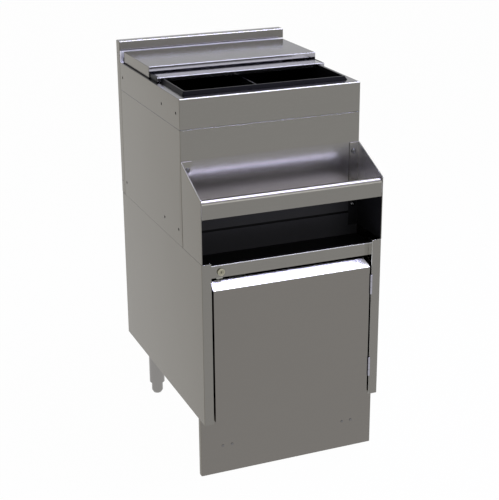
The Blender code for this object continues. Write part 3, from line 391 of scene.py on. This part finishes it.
# The hexagon socket is sunk in the top of the dome.
socket_reach = add_node(screw_tree, "ShaderNodeMath", {
    0: given["Socket Depth"], 1: 2.0}, operation="MULTIPLY")
hexagon = add_node(screw_tree, "GeometryNodeMeshCylinder", {
    "Vertices": 6, "Radius": given["Socket Radius"], "Depth": socket_reach.outputs[0]})
dome_top = add_node(screw_tree, "ShaderNodeCombineXYZ", {2: given["Dome Height"]})
raised = add_node(screw_tree, "GeometryNodeTransform", {
    "Geometry": hexagon.outputs["Mesh"], "Translation": dome_top.outputs[0]})
head = add_node(screw_tree, "GeometryNodeMeshBoolean", {
    "Mesh 1": dome.outputs[0], "Mesh 2": raised.outputs[0]}, operation="DIFFERENCE")

# The thread is drawn as rings: every second row of the shank is drawn in.
rows = add_node(screw_tree, "ShaderNodeMath", {
    0: given["Thread Turns"], 1: 2.0}, operation="MULTIPLY")
shank = add_node(screw_tree, "GeometryNodeMeshCylinder", {
    "Vertices": 20, "Side Segments": rows.outputs[0], "Radius": given["Shank Radius"],
    "Depth": given["Shank Length"]})
turn_share = add_node(screw_tree, "ShaderNodeMath", {
    0: part_of[2], 1: given["Shank Length"]}, operation="DIVIDE")
turn_count = add_node(screw_tree, "ShaderNodeMath", {
    0: turn_share.outputs[0], 1: given["Thread Turns"]}, operation="MULTIPLY")
turn_angle = add_node(screw_tree, "ShaderNodeMath", {
    0: turn_count.outputs[0], 1: math.tau}, operation="MULTIPLY")
wave = add_node(screw_tree, "ShaderNodeMath", {0: turn_angle.outputs[0]}, operation="COSINE")
drawn_in = add_node(screw_tree, "ShaderNodeMapRange", {
    0: wave.outputs[0], 1: -1.0, 2: 1.0, 3: 0.86, 4: 1.0})
thread_size = add_node(screw_tree, "ShaderNodeCombineXYZ", {
    0: drawn_in.outputs[0], 1: drawn_in.outputs[0], 2: 1.0})
threaded = add_node(screw_tree, "ShaderNodeVectorMath", {
    0: where, 1: thread_size.outputs[0]}, operation="MULTIPLY")
thread_rings = add_node(screw_tree, "GeometryNodeSetPosition", {
    "Geometry": shank.outputs["Mesh"], "Position": threaded.outputs[0]})

# The shank hangs from the head and reaches a hundredth of its length into it.
shank_drop = add_node(screw_tree, "ShaderNodeMath", {
    0: given["Shank Length"], 1: -0.49}, operation="MULTIPLY")
shank_place = add_node(screw_tree, "ShaderNodeCombineXYZ", {2: shank_drop.outputs[0]})
below = add_node(screw_tree, "GeometryNodeTransform", {
    "Geometry": thread_rings.outputs[0], "Translation": shank_place.outputs[0]})

# Head and shank become one body; both go in by the same socket.
whole = add_node(screw_tree, "GeometryNodeMeshBoolean", {
    "Mesh 2": head.outputs[0]}, operation="UNION")
screw_tree.links.new(below.outputs[0], whole.inputs["Mesh 2"])

# Each screw stands on its point with the head to the front.
placed = add_node(screw_tree, "GeometryNodeInstanceOnPoints", {
    "Points": given["Geometry"], "Instance": whole.outputs[0], "Rotation": (math.pi / 2, 0, 0)})
real = add_node(screw_tree, "GeometryNodeRealizeInstances", {"Geometry": placed.outputs[0]})
plated = add_node(screw_tree, "GeometryNodeSetMaterial", {
    "Geometry": real.outputs[0], "Material": given["Material"]})
add_node(screw_tree, "NodeGroupOutput", {0: plated.outputs[0]})


def screws(stem, sizes, material):
    """Dome-headed screws for the two CAD nodes of this name on each side, as one piece."""
    nodes = [f"{stem}_{side}_{index}" for side in ("left", "right") for index in (1, 2)]
    seats = bmesh.new()
    for node in nodes:
        low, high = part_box(node)
        seats.verts.new(((low.x + high.x) / 2, low.y + sizes["Dome Height"], (low.z + high.z) / 2))
    made = run_tree(screw_tree, seats, {**sizes, "Material": material})
    finish_piece(f"{stem}s", made, [material], "base", nodes)


# The screws are painted darker than the brackets, a painted shade for the dark that their domes
# mirror, so their heads show as small dark dots.
screw_shade_zinc = satin_stainless("bright zinc plate, screws", "#6E6D6E", "Y", 0.16, 0.24)
screws("kick_screw", {
    "Head Radius": 0.0032, "Dome Height": 0.0016, "Shank Radius": 0.0018, "Shank Length": 0.0079,
    "Thread Turns": 10, "Socket Radius": 0.0012, "Socket Depth": 0.0009}, screw_shade_zinc)


# Door: a folded hollow skin with a sloping finger pull along its top, welded at the
# corners and ground smooth, with an inner panel and a strike plate behind it. The pull is
# painted near white, a painted highlight of the light above, and evenly polished, so that it
# shows as a clean white wedge.
pull_highlight_stainless = satin_stainless("stainless with painted highlight, finger pull", "#F2F2F6", "X", 0.21, 0.22)
door_skin = shaded_by_facing("door_skin")
for face in door_skin.faces:
    if face.normal.y < -tilted and face.normal.z > tilted:
        face.material_index = 4
finish_piece("door_skin_sheet", door_skin, [*lower_facing_shade, pull_highlight_stainless], "door",
             ["door_skin"])
finish_piece("door_liner_sheet", shaded_by_facing("door_liner"), facing_shade_stainless, "door",
             ["door_liner"])
finish_piece("strike_plate_sheet", eased("strike_plate", edge=0.0002), [zinc_plated], "door",
             ["strike_plate"])


# Magnet catch: a block of pressed ferrite on a zinc-plated bracket that hangs under the
# tray. It holds the door shut by the strike plate. Ferrite is dark, matt and grainy.
ferrite, ferrite_tree = empty_material("pressed ferrite")
ferrite_place = add_node(ferrite_tree, "ShaderNodeTexCoord").outputs["Object"]
ferrite_grit = 0.0008
powder = add_node(ferrite_tree, "ShaderNodeTexNoise", {
    "Vector": ferrite_place, "Scale": 1 / ferrite_grit, "Detail": 5.0, "Roughness": 0.7})
ferrite_tint = add_node(ferrite_tree, "ShaderNodeMix", {
    0: powder.outputs[0], 6: linear("#232325"), 7: linear("#3A3A3B")}, data_type="RGBA")
ferrite_bump = add_node(ferrite_tree, "ShaderNodeBump", {
    "Strength": 0.3, "Distance": 0.0001, "Height": powder.outputs[0]})
ferrite_shader = add_node(ferrite_tree, "ShaderNodeBsdfPrincipled", {
    "Base Color": ferrite_tint.outputs[2], "Roughness": 0.6, "Normal": ferrite_bump.outputs[0]})
add_node(ferrite_tree, "ShaderNodeOutputMaterial", {"Surface": ferrite_shader.outputs[0]})
finish_piece("door_magnet_block", eased("door_magnet", edge=0.0002), [ferrite], "base",
             ["door_magnet"])
finish_piece("catch_bracket_sheet", eased("catch_bracket"), [zinc_plated], "base",
             ["catch_bracket"])


# Hinges: two stainless butt hinges with rolled knuckles. One leaf is welded to the stile,
# the other to the edge of the door, and a headed pin runs through both. They are painted
# paler than the sheet, a painted highlight on the barrel, with streaks along it.
hinge_highlight_stainless = satin_stainless("satin stainless, hinges", "#9F9EA8", "Z")
for index in (1, 2):
    frame_leaf, door_leaf = f"hinge_frame_leaf_{index}", f"hinge_door_leaf_{index}"
    pin_node = f"hinge_pin_{index}"
    finish_piece(f"{frame_leaf}_knuckles", eased(frame_leaf, edge=0.0002), [hinge_highlight_stainless], "base",
                 [frame_leaf])
    finish_piece(f"{door_leaf}_knuckle", eased(door_leaf, edge=0.0002), [hinge_highlight_stainless], "door",
                 [door_leaf])
    low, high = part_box(pin_node)
    pin, pin_head, head_height, round_off = 0.0015, 0.0025, 0.0012, 0.0009
    pin_profile = [
        (0, high.z), *fillet((pin_head - round_off, high.z - round_off), round_off, 90, 0),
        (pin_head, high.z - head_height), (pin, high.z - head_height),
        (pin, low.z + head_height), (pin_head, low.z + head_height),
        *fillet((pin_head - round_off, low.z + round_off), round_off, 0, -90), (0, low.z)]
    finish_piece(f"{pin_node}_turned", turned_shape(pin_profile, 32, standing_at(pin_node)),
                 [hinge_highlight_stainless], "base", [pin_node])


# Lock: a cam lock in the header, nickel-plated, which is warm and dull beside the steel. A
# nut behind the rail holds the housing, and the key turns the plug with its zinc-plated cam.
nickel = satin_stainless("satin nickel plate", "#A5A290", "Z", 0.26, 0.34)
low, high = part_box("lock_housing")
lock_x, lock_z = (low.x + high.x) / 2, (low.z + high.z) / 2
header_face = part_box("header_rail")[0].y
proud, body_length = header_face - low.y, high.y - header_face
lock_head, lock_body, plug, play, round_off = 0.0087, 0.0075, 0.005, 0.0003, 0.0011
plug_sunk, chamfer = 0.0004, 0.0005
to_front = (Matrix.Translation((lock_x, header_face, lock_z))
            @ Matrix.Rotation(math.pi / 2, 4, "X"))
housing_profile = [
    (plug + play, proud - plug_sunk), (plug + play + chamfer, proud - plug_sunk / 4),
    *fillet((lock_head - round_off, proud - round_off), round_off, 90, 0, 8),
    (lock_head, play), (lock_body, play), (lock_body, -body_length), (plug + play, -body_length)]
finish_piece("lock_housing_turned", turned_shape(housing_profile, 72, to_front, ring=True),
             [nickel], "base", ["lock_housing"])

key_width, key_length, key_depth = 0.0013, 0.0066, 0.004
plug_face = proud - plug_sunk
plug_profile = [
    (0, plug_face), *fillet((plug - chamfer, plug_face - chamfer), chamfer, 90, 0),
    (plug, -body_length), (0, -body_length)]
keyway_tree, given = new_tree("keyway", {
    "Slot Width": "Float", "Slot Length": "Float", "Slot Depth": "Float", "Face": "Vector"})
slot_size = add_node(keyway_tree, "ShaderNodeCombineXYZ", {
    0: given["Slot Width"], 1: given["Slot Depth"], 2: given["Slot Length"]})
slot_block = add_node(keyway_tree, "GeometryNodeMeshCube", {"Size": slot_size.outputs[0]})
slot_placed = add_node(keyway_tree, "GeometryNodeTransform", {
    "Geometry": slot_block.outputs["Mesh"], "Translation": given["Face"]})
slotted = add_node(keyway_tree, "GeometryNodeMeshBoolean", {
    "Mesh 1": given["Geometry"], "Mesh 2": slot_placed.outputs[0]}, operation="DIFFERENCE")
slot_real = add_node(keyway_tree, "GeometryNodeRealizeInstances", {"Geometry": slotted.outputs[0]})
slot_plated = add_node(keyway_tree, "GeometryNodeSetMaterial", {
    "Geometry": slot_real.outputs[0], "Material": given["Material"]})
add_node(keyway_tree, "NodeGroupOutput", {0: slot_plated.outputs[0]})
plug_shape = run_tree(keyway_tree, turned_shape(plug_profile, 64, to_front), {
    "Slot Width": key_width, "Slot Length": key_length, "Slot Depth": 2 * key_depth,
    "Face": (lock_x, header_face - plug_face, lock_z), "Material": nickel})
finish_piece("lock_plug_turned", plug_shape, [nickel], "lock", ["lock_plug"])
finish_piece("lock_nut_hexagon", eased("lock_nut", edge=0.0003), [zinc_plated], "base",
             ["lock_nut"])
finish_piece("lock_cam_stamping", eased("lock_cam", edge=0.0003), [zinc_plated], "lock",
             ["lock_cam"])


# Chest: outer wrap, floor, head band with the deck, backsplash and the cover behind it,
# folded from stainless sheet round the foam. Under the speed rail the wrap is painted black,
# as painted shade.
for node in ("chest_floor", "rear_cover"):
    finish_piece(f"{node}_sheet", shaded_by_facing(node), facing_shade_stainless, "base",
                 [node])


def split(bm, place, across):
    """Cuts the faces of a shape along a plane, so that they can differ on both sides of it."""
    bmesh.ops.bisect_plane(bm, geom=[*bm.verts, *bm.edges, *bm.faces], dist=0.000001,
                           plane_co=place, plane_no=across)


# Behind the rear lid the sheets are dull and painted pale as painted light, so the gap stays bright.
# The lower edge of the head band is painted dark, a painted shadow line along the seam.
gap_light_stainless = satin_stainless("pale stainless as painted light, behind the lid", "#EAEAF2", "X", 0.45, 0.55)
seam_shadow_stainless = satin_stainless("stainless with painted shadow, lower edge of the band", "#3A3A3F", "X")
lid_rear_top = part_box("rear_lid")[1]
seam_height = 0.0009
seam_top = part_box("head_rim")[0].z + seam_height
rim = shaded_by_facing("head_rim")
split(rim, lid_rear_top, (0, 1, 0))
split(rim, (0, 0, seam_top), (0, 0, 1))
for face in rim.faces:
    middle = face.calc_center_median()
    if face.normal.z > squarely and middle.y > lid_rear_top.y:
        face.material_index = 4
    elif middle.z < seam_top:
        face.material_index = 5
finish_piece("head_rim_sheet", rim, [*facing_shade_stainless, gap_light_stainless, seam_shadow_stainless], "base",
             ["head_rim"])

# The backsplash is a shade darker than the fronts.
splash_stainless = satin_stainless("satin stainless, backsplash", "#6E6C69", "X")
splash = shaded_by_facing("back_panel")
split(splash, lid_rear_top, (0, 0, 1))
# Below the rear lid's top, the splash's front is painted pale as painted light.
for face in splash.faces:
    if face.normal.y < -squarely and face.calc_center_median().z < lid_rear_top.z:
        face.material_index = 4
finish_piece("back_panel_sheet", splash, [
    splash_stainless, *facing_shade_stainless[1:], gap_light_stainless], "base",
    ["back_panel"])

# Behind the rail the wrap is ground with a coarser belt, which spreads the light. Under the
# rail the wall of the bay is painted black as painted shade, greyer where light reaches it, and
# darkest, a deeper painted shade, in the band just above the tray where tray and wall meet.
rail_wall_stainless = satin_stainless(
    "coarse satin stainless, behind the rail", "#7C7A78", "X", 0.19, 0.21)
bay_wall_shade_black = grained_black("black as painted shade, bay wall", "#5A5A5C", 0.30, 0.0016)
wrap = shaded_by_facing("chest_wrap", edge=0.0004)
bay_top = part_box("rail_trough")[0].z
joint_height = 0.005
bay_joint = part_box("shelf_tray")[1].z + joint_height
rail_wall_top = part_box("rail_cheek_left")[1].z
for height in (bay_joint, bay_top, rail_wall_top):
    split(wrap, (0, 0, height), (0, 0, 1))
for face in wrap.faces:
    height = face.calc_center_median().z
    if face.normal.y < -squarely and height < rail_wall_top:
        face.material_index = 4 if height > bay_top else 5 if height > bay_joint else 6
finish_piece("chest_wrap_sheet", wrap, [
    *facing_shade_stainless, rail_wall_stainless, bay_wall_shade_black, tray_black_and_joint_shade], "base",
    ["chest_wrap"])


# Foam: polyurethane foamed in place between the wrap and the liner, full of fine cells and
# painted dark, a painted shade for what shows through holes in the sheets. Its solid is kept
# and only gets its finish.
foam, foam_tree = empty_material("foamed polyurethane")
foam_place = add_node(foam_tree, "ShaderNodeTexCoord").outputs["Object"]
foam_cell = 0.002
cells = add_node(foam_tree, "ShaderNodeTexVoronoi", {"Vector": foam_place, "Scale": 1 / foam_cell})
foam_shade_tint = add_node(foam_tree, "ShaderNodeMix", {
    0: cells.outputs["Distance"], 6: linear("#0A0A0A"), 7: linear("#141413")}, data_type="RGBA")
foam_bump = add_node(foam_tree, "ShaderNodeBump", {
    "Strength": 0.5, "Distance": 0.0004, "Height": cells.outputs["Distance"]})
foam_shader = add_node(foam_tree, "ShaderNodeBsdfPrincipled", {
    "Base Color": foam_shade_tint.outputs[2], "Roughness": 0.9, "Normal": foam_bump.outputs[0]})
add_node(foam_tree, "ShaderNodeOutputMaterial", {"Surface": foam_shader.outputs[0]})
foam_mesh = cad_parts["foam_insulation"].data
foam_mesh.materials.clear()
foam_mesh.materials.append(foam)


# Bin liner: black ABS, drawn as one deep tub with a raised collar round the opening. A
# loose plate of the same plastic stands in its guides and divides the bin.
liner_black = grained_black("black moulded ABS, liner", "#18181A", 0.30, 0.0014)
finish_piece("bin_liner_moulding", eased("bin_liner", edge=0.0008), [liner_black], "base",
             ["bin_liner"])
divider_black = grained_black("black moulded ABS, divider", "#161618", 0.26, 0.0014)
finish_piece("bin_divider_plate", eased("bin_divider", edge=0.0004), [divider_black], "base",
             ["bin_divider"])


# Drain: a fitting of grey PVC, softly shiny with faint flow marks, through the liner's floor
# with a nut under the chest, and a stainless strainer that drops into it.
pvc, pvc_tree = empty_material("grey PVC, moulded")
pvc_place = add_node(pvc_tree, "ShaderNodeTexCoord").outputs["Object"]
flow_mark = 0.006
flow = add_node(pvc_tree, "ShaderNodeTexNoise", {
    "Vector": pvc_place, "Scale": 1 / flow_mark, "Detail": 3.0})
pvc_tint = add_node(pvc_tree, "ShaderNodeMix", {
    0: flow.outputs[0], 6: linear("#7D7F80"), 7: linear("#8B8D8E")}, data_type="RGBA")
pvc_rough = add_node(pvc_tree, "ShaderNodeMapRange", {
    0: flow.outputs[0], 1: 0.3, 2: 0.7, 3: 0.36, 4: 0.48})
pvc_shader = add_node(pvc_tree, "ShaderNodeBsdfPrincipled", {
    "Base Color": pvc_tint.outputs[2], "Roughness": pvc_rough.outputs[0], "IOR": 1.53})
add_node(pvc_tree, "ShaderNodeOutputMaterial", {"Surface": pvc_shader.outputs[0]})
finish_piece("drain_fitting_moulding", eased("drain_fitting", edge=0.0005), [pvc], "base",
             ["drain_fitting"])
finish_piece("drain_nut_moulding", eased("drain_nut", edge=0.0006), [pvc], "base",
             ["drain_nut"])

low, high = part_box("drain_strainer")
dish, dish_height, neck, neck_wall, round_off = 0.022, 0.002, 0.0117, 0.0015, 0.0008
under = high.z - dish_height
strainer_profile = [
    (0, high.z), *fillet((dish - round_off, high.z - round_off), round_off, 90, 0),
    (dish, under), (neck, under), (neck, low.z), (neck - neck_wall, low.z),
    (neck - neck_wall, under), (0, under)]
strainer_place = standing_at("drain_strainer")
strainer_blank = turned_shape(strainer_profile, 64, strainer_place)

hole_tree, given = new_tree("ring of holes", {
    "Hole Radius": "Float", "Circle Radius": "Float", "Holes": "Int", "Drill Length": "Float",
    "Middle": "Vector"})
hole_circle = add_node(hole_tree, "GeometryNodeMeshCircle", {
    "Vertices": given["Holes"], "Radius": given["Circle Radius"]})
drill = add_node(hole_tree, "GeometryNodeMeshCylinder", {
    "Vertices": 20, "Radius": given["Hole Radius"], "Depth": given["Drill Length"]})
drills = add_node(hole_tree, "GeometryNodeInstanceOnPoints", {
    "Points": hole_circle.outputs[0], "Instance": drill.outputs["Mesh"]})
drills_real = add_node(hole_tree, "GeometryNodeRealizeInstances", {"Geometry": drills.outputs[0]})
drills_placed = add_node(hole_tree, "GeometryNodeTransform", {
    "Geometry": drills_real.outputs[0], "Translation": given["Middle"]})
drilled = add_node(hole_tree, "GeometryNodeMeshBoolean", {
    "Mesh 1": given["Geometry"], "Mesh 2": drills_placed.outputs[0]}, operation="DIFFERENCE")
drilled_real = add_node(hole_tree, "GeometryNodeRealizeInstances", {"Geometry": drilled.outputs[0]})
drilled_steel = add_node(hole_tree, "GeometryNodeSetMaterial", {
    "Geometry": drilled_real.outputs[0], "Material": given["Material"]})
add_node(hole_tree, "NodeGroupOutput", {0: drilled_steel.outputs[0]})
perforated = run_tree(hole_tree, strainer_blank, {
    "Hole Radius": 0.0022, "Circle Radius": 0.006, "Holes": 6, "Drill Length": 0.03,
    "Middle": strainer_place.translation + Vector((0, 0, high.z)), "Material": top_shade_stainless})
finish_piece("drain_strainer_plate", perforated, [top_shade_stainless], "base",
             ["drain_strainer"])


# Speed rail: two cheeks and a trough with a rolled nose, folded from stainless sheet, for
# bottles. Inside, the sheet is painted pale as painted light: bright behind the nose, pale and
# dull on the floor and pale on the cheeks' inner faces. The nose is ground with a coarser belt,
# and what faces the bay is painted black as painted shade.
nose_rear_light_stainless = satin_stainless("pale stainless as painted light, behind the nose", "#FCFCFF", "X", 0.14, 0.16)
nose_stainless = satin_stainless("coarse satin stainless, nose", "#7C7A76", "X", 0.22, 0.28)
trough_floor_light_stainless = satin_stainless("pale stainless as painted light, trough floor", "#E2E0D8", "X", 0.52, 0.62)
cheek_light_stainless = satin_stainless("pale stainless as painted light, cheeks", "#E0E0EA", "X", 0.24, 0.32)
bay_shade_black = grained_black("black as painted shade, bay under the rail", "#323234", 0.30, 0.0016)
rear_flange, cheek_edge, tab_edge, nose_depth = 0.012, 0.2265, 0.224, 0.028
trough_underside = bay_top + rear_flange
for node, inner in (("rail_cheek_left", 1), ("rail_cheek_right", -1)):
    cheek = shaded_by_facing(node, edge=0.0005)
    split(cheek, (0, 0, trough_underside), (0, 0, 1))
    for face in cheek.faces:
        middle = face.calc_center_median()
        inside_bay = middle.z < trough_underside
        if is_slim(face):
            if abs(middle.x) < cheek_edge:
                face.material_index = 5 if inside_bay else 0
            elif face.normal.z > slightly:
                face.material_index = 3
        elif face.normal.x * inner > partly:
            face.material_index = 5 if inside_bay else 4
        elif face.normal.y < -partly and inside_bay and abs(middle.x) < tab_edge:
            face.material_index = 5
    finish_piece(f"{node}_sheet", cheek, [*facing_shade_stainless, cheek_light_stainless, bay_shade_black], "base",
                 [node])
trough = shaded_by_facing("rail_trough")
nose_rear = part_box("rail_trough")[0].y + nose_depth
for face in trough.faces:
    if face.normal.y > barely:
        face.material_index = 4
    elif face.calc_center_median().y > nose_rear:
        face.material_index = 5 if face.normal.z > 0 else 6
    else:
        face.material_index = 6 if face.normal.z < -mostly else 7
finish_piece("rail_trough_sheet", trough, [
    *facing_shade_stainless, nose_rear_light_stainless, trough_floor_light_stainless, bay_shade_black, nose_stainless], "base",
    ["rail_trough"])


# Rail bolts: four zinc-plated bolts with domed heads, through the cheeks' tabs into the
# chest, smoother than the screws of the kick plate and painted darker still, a painted shade
# for the dark that their domes mirror.
bolt_shade_zinc = satin_stainless("bright zinc plate, bolts", "#565658", "Y", 0.12, 0.18)
screws("rail_bolt", {
    "Head Radius": 0.0066, "Dome Height": 0.0042, "Shank Radius": 0.003, "Shank Length": 0.0118,
    "Thread Turns": 11, "Socket Radius": 0.0021, "Socket Depth": 0.0018}, bolt_shade_zinc)


# Lids: two folded stainless pans. The rear lid slides over the front one on black glides.
# The front lid has a flange to pull, notched for the collar, and black runners on the deck.
# Their bends carry painted highlights, weaker than the chest's, and their flanges are painted
# paler than the chest's fronts, as painted light; acetal has a soft waxy sheen.
lid_bend_highlight = satin_stainless("stainless with painted highlight, lid bends", "#A0A0A6", "X")
lid_flange_light = satin_stainless("satin stainless, lid flanges", "#99989E", "X")
lower_top_stainless = satin_stainless("satin stainless, front lid", "#8C8B92", "X")
rear_lid = shaded_by_facing("rear_lid")
# The rear lid's back faces are painted pale as painted light, like the gap behind it.
for face in rear_lid.faces:
    if face.normal.y > tilted:
        face.material_index = 4
finish_piece("rear_lid_sheet", rear_lid, [
    lid_flange_light, side_shade_stainless, top_shade_stainless, lid_bend_highlight, gap_light_stainless],
    "upper_lid", ["rear_lid"])
finish_piece("front_lid_sheet", shaded_by_facing("front_lid"), [
    lid_flange_light, side_shade_stainless, lower_top_stainless, lid_bend_highlight],
    "lower_lid", ["front_lid"])
glide_black = grained_black("black moulded acetal, glides", "#121214", 0.28, 0.001)
for side in ("left", "right"):
    glide, runner = f"rear_lid_glide_{side}", f"front_lid_runner_{side}"
    finish_piece(f"{glide}_moulding", eased(glide, edge=0.0003), [glide_black], "upper_lid",
                 [glide])
    finish_piece(f"{runner}_moulding", eased(runner, edge=0.0006), [glide_black], "lower_lid",
                 [runner])


# Studio: a floor of matt white paper, which keeps the shadow, a soft lamp above, a weak one
# in front and an even white surround, with the camera at the photograph's view.
floor_reach, white_share, shade = 12.0, 0.985, 0.15
floor_mesh = bpy.data.meshes.new("studio_floor")
floor_bm = bmesh.new()
bmesh.ops.create_grid(floor_bm, x_segments=1, y_segments=1, size=floor_reach)
floor_bm.to_mesh(floor_mesh)
floor_bm.free()
floor = bpy.data.objects.new("studio_floor", floor_mesh)
bpy.context.scene.collection.objects.link(floor)
paper, paper_tree = empty_material("white paper floor")


def seen_as_background(tree):
    """1 for rays that show the background: from the camera, in metal and through glass."""
    ray = add_node(tree, "ShaderNodeLightPath").outputs
    seen = add_node(tree, "ShaderNodeMath", {
        0: ray["Is Camera Ray"], 1: ray["Is Glossy Ray"]}, operation="MAXIMUM")
    seen = add_node(tree, "ShaderNodeMath", {
        0: seen.outputs[0], 1: ray["Is Transmission Ray"]}, operation="MAXIMUM")
    return seen.outputs[0]


share = add_node(paper_tree, "ShaderNodeMath", {
    0: seen_as_background(paper_tree), 1: white_share}, operation="MULTIPLY")
matt = add_node(paper_tree, "ShaderNodeBsdfDiffuse", {"Color": linear("#F4F4F4")})
glow = add_node(paper_tree, "ShaderNodeEmission", {"Color": linear("#FFFFFF"), "Strength": 1.0})
both = add_node(paper_tree, "ShaderNodeMixShader", {
    0: share.outputs[0], 1: matt.outputs[0], 2: glow.outputs[0]})
add_node(paper_tree, "ShaderNodeOutputMaterial", {"Surface": both.outputs[0]})
floor_mesh.materials.append(paper)

world = bpy.data.worlds.new("white surround")
bpy.context.scene.world = world
world.use_nodes = True
world.node_tree.nodes.clear()
level = add_node(world.node_tree, "ShaderNodeMapRange", {
    0: seen_as_background(world.node_tree), 1: 0.0, 2: 1.0, 3: shade, 4: 1.0})
surround = add_node(world.node_tree, "ShaderNodeBackground", {
    "Color": linear("#FFFFFF"), "Strength": level.outputs[0]})
add_node(world.node_tree, "ShaderNodeOutputWorld", {"Surface": surround.outputs[0]})

lamp = bpy.data.lights.new("overhead softbox", "AREA")
lamp.shape = "RECTANGLE"
lamp.size, lamp.size_y, lamp.energy = 1.0, 1.25, 48.0
lamp.color = linear("#DAD8FF")[:3]
lamp_object = bpy.data.objects.new("overhead softbox", lamp)
lamp_object.location = (0.72, -0.4, 2.5)
bpy.context.scene.collection.objects.link(lamp_object)

fill = bpy.data.lights.new("front softbox", "AREA")
fill.shape = "RECTANGLE"
fill.size, fill.size_y, fill.energy = 1.2, 0.7, 5.0
fill_object = bpy.data.objects.new("front softbox", fill)
fill_object.location = (0.95, -2.55, 1.55)
to_rail = Vector((0.0, -0.24, 0.67)) - fill_object.location
fill_object.rotation_euler = to_rail.to_track_quat("-Z", "Y").to_euler()
bpy.context.scene.collection.objects.link(fill_object)

azimuth, elevation, roll = (math.radians(a) for a in (-22.236, 20.058, -0.382))
target, distance = Vector((0.0221, 0.0247, 0.4509)), 3.2428
back = Vector((math.sin(azimuth) * math.cos(elevation),
               -math.cos(azimuth) * math.cos(elevation), math.sin(elevation)))
right = Vector((0, 0, 1)).cross(back).normalized()
up = back.cross(right)
turned_right = right * math.cos(roll) + up * math.sin(roll)
turned_up = up * math.cos(roll) - right * math.sin(roll)
lens = bpy.data.cameras.new("photo view")
lens.lens, lens.sensor_width = 90.35, 36.0
camera = bpy.data.objects.new("photo view", lens)
camera.matrix_world = Matrix.Translation(target + back * distance) @ Matrix(
    (turned_right, turned_up, back)).transposed().to_4x4()
bpy.context.scene.collection.objects.link(camera)
bpy.context.scene.camera = camera
bpy.context.scene.view_settings.view_transform = "Standard"
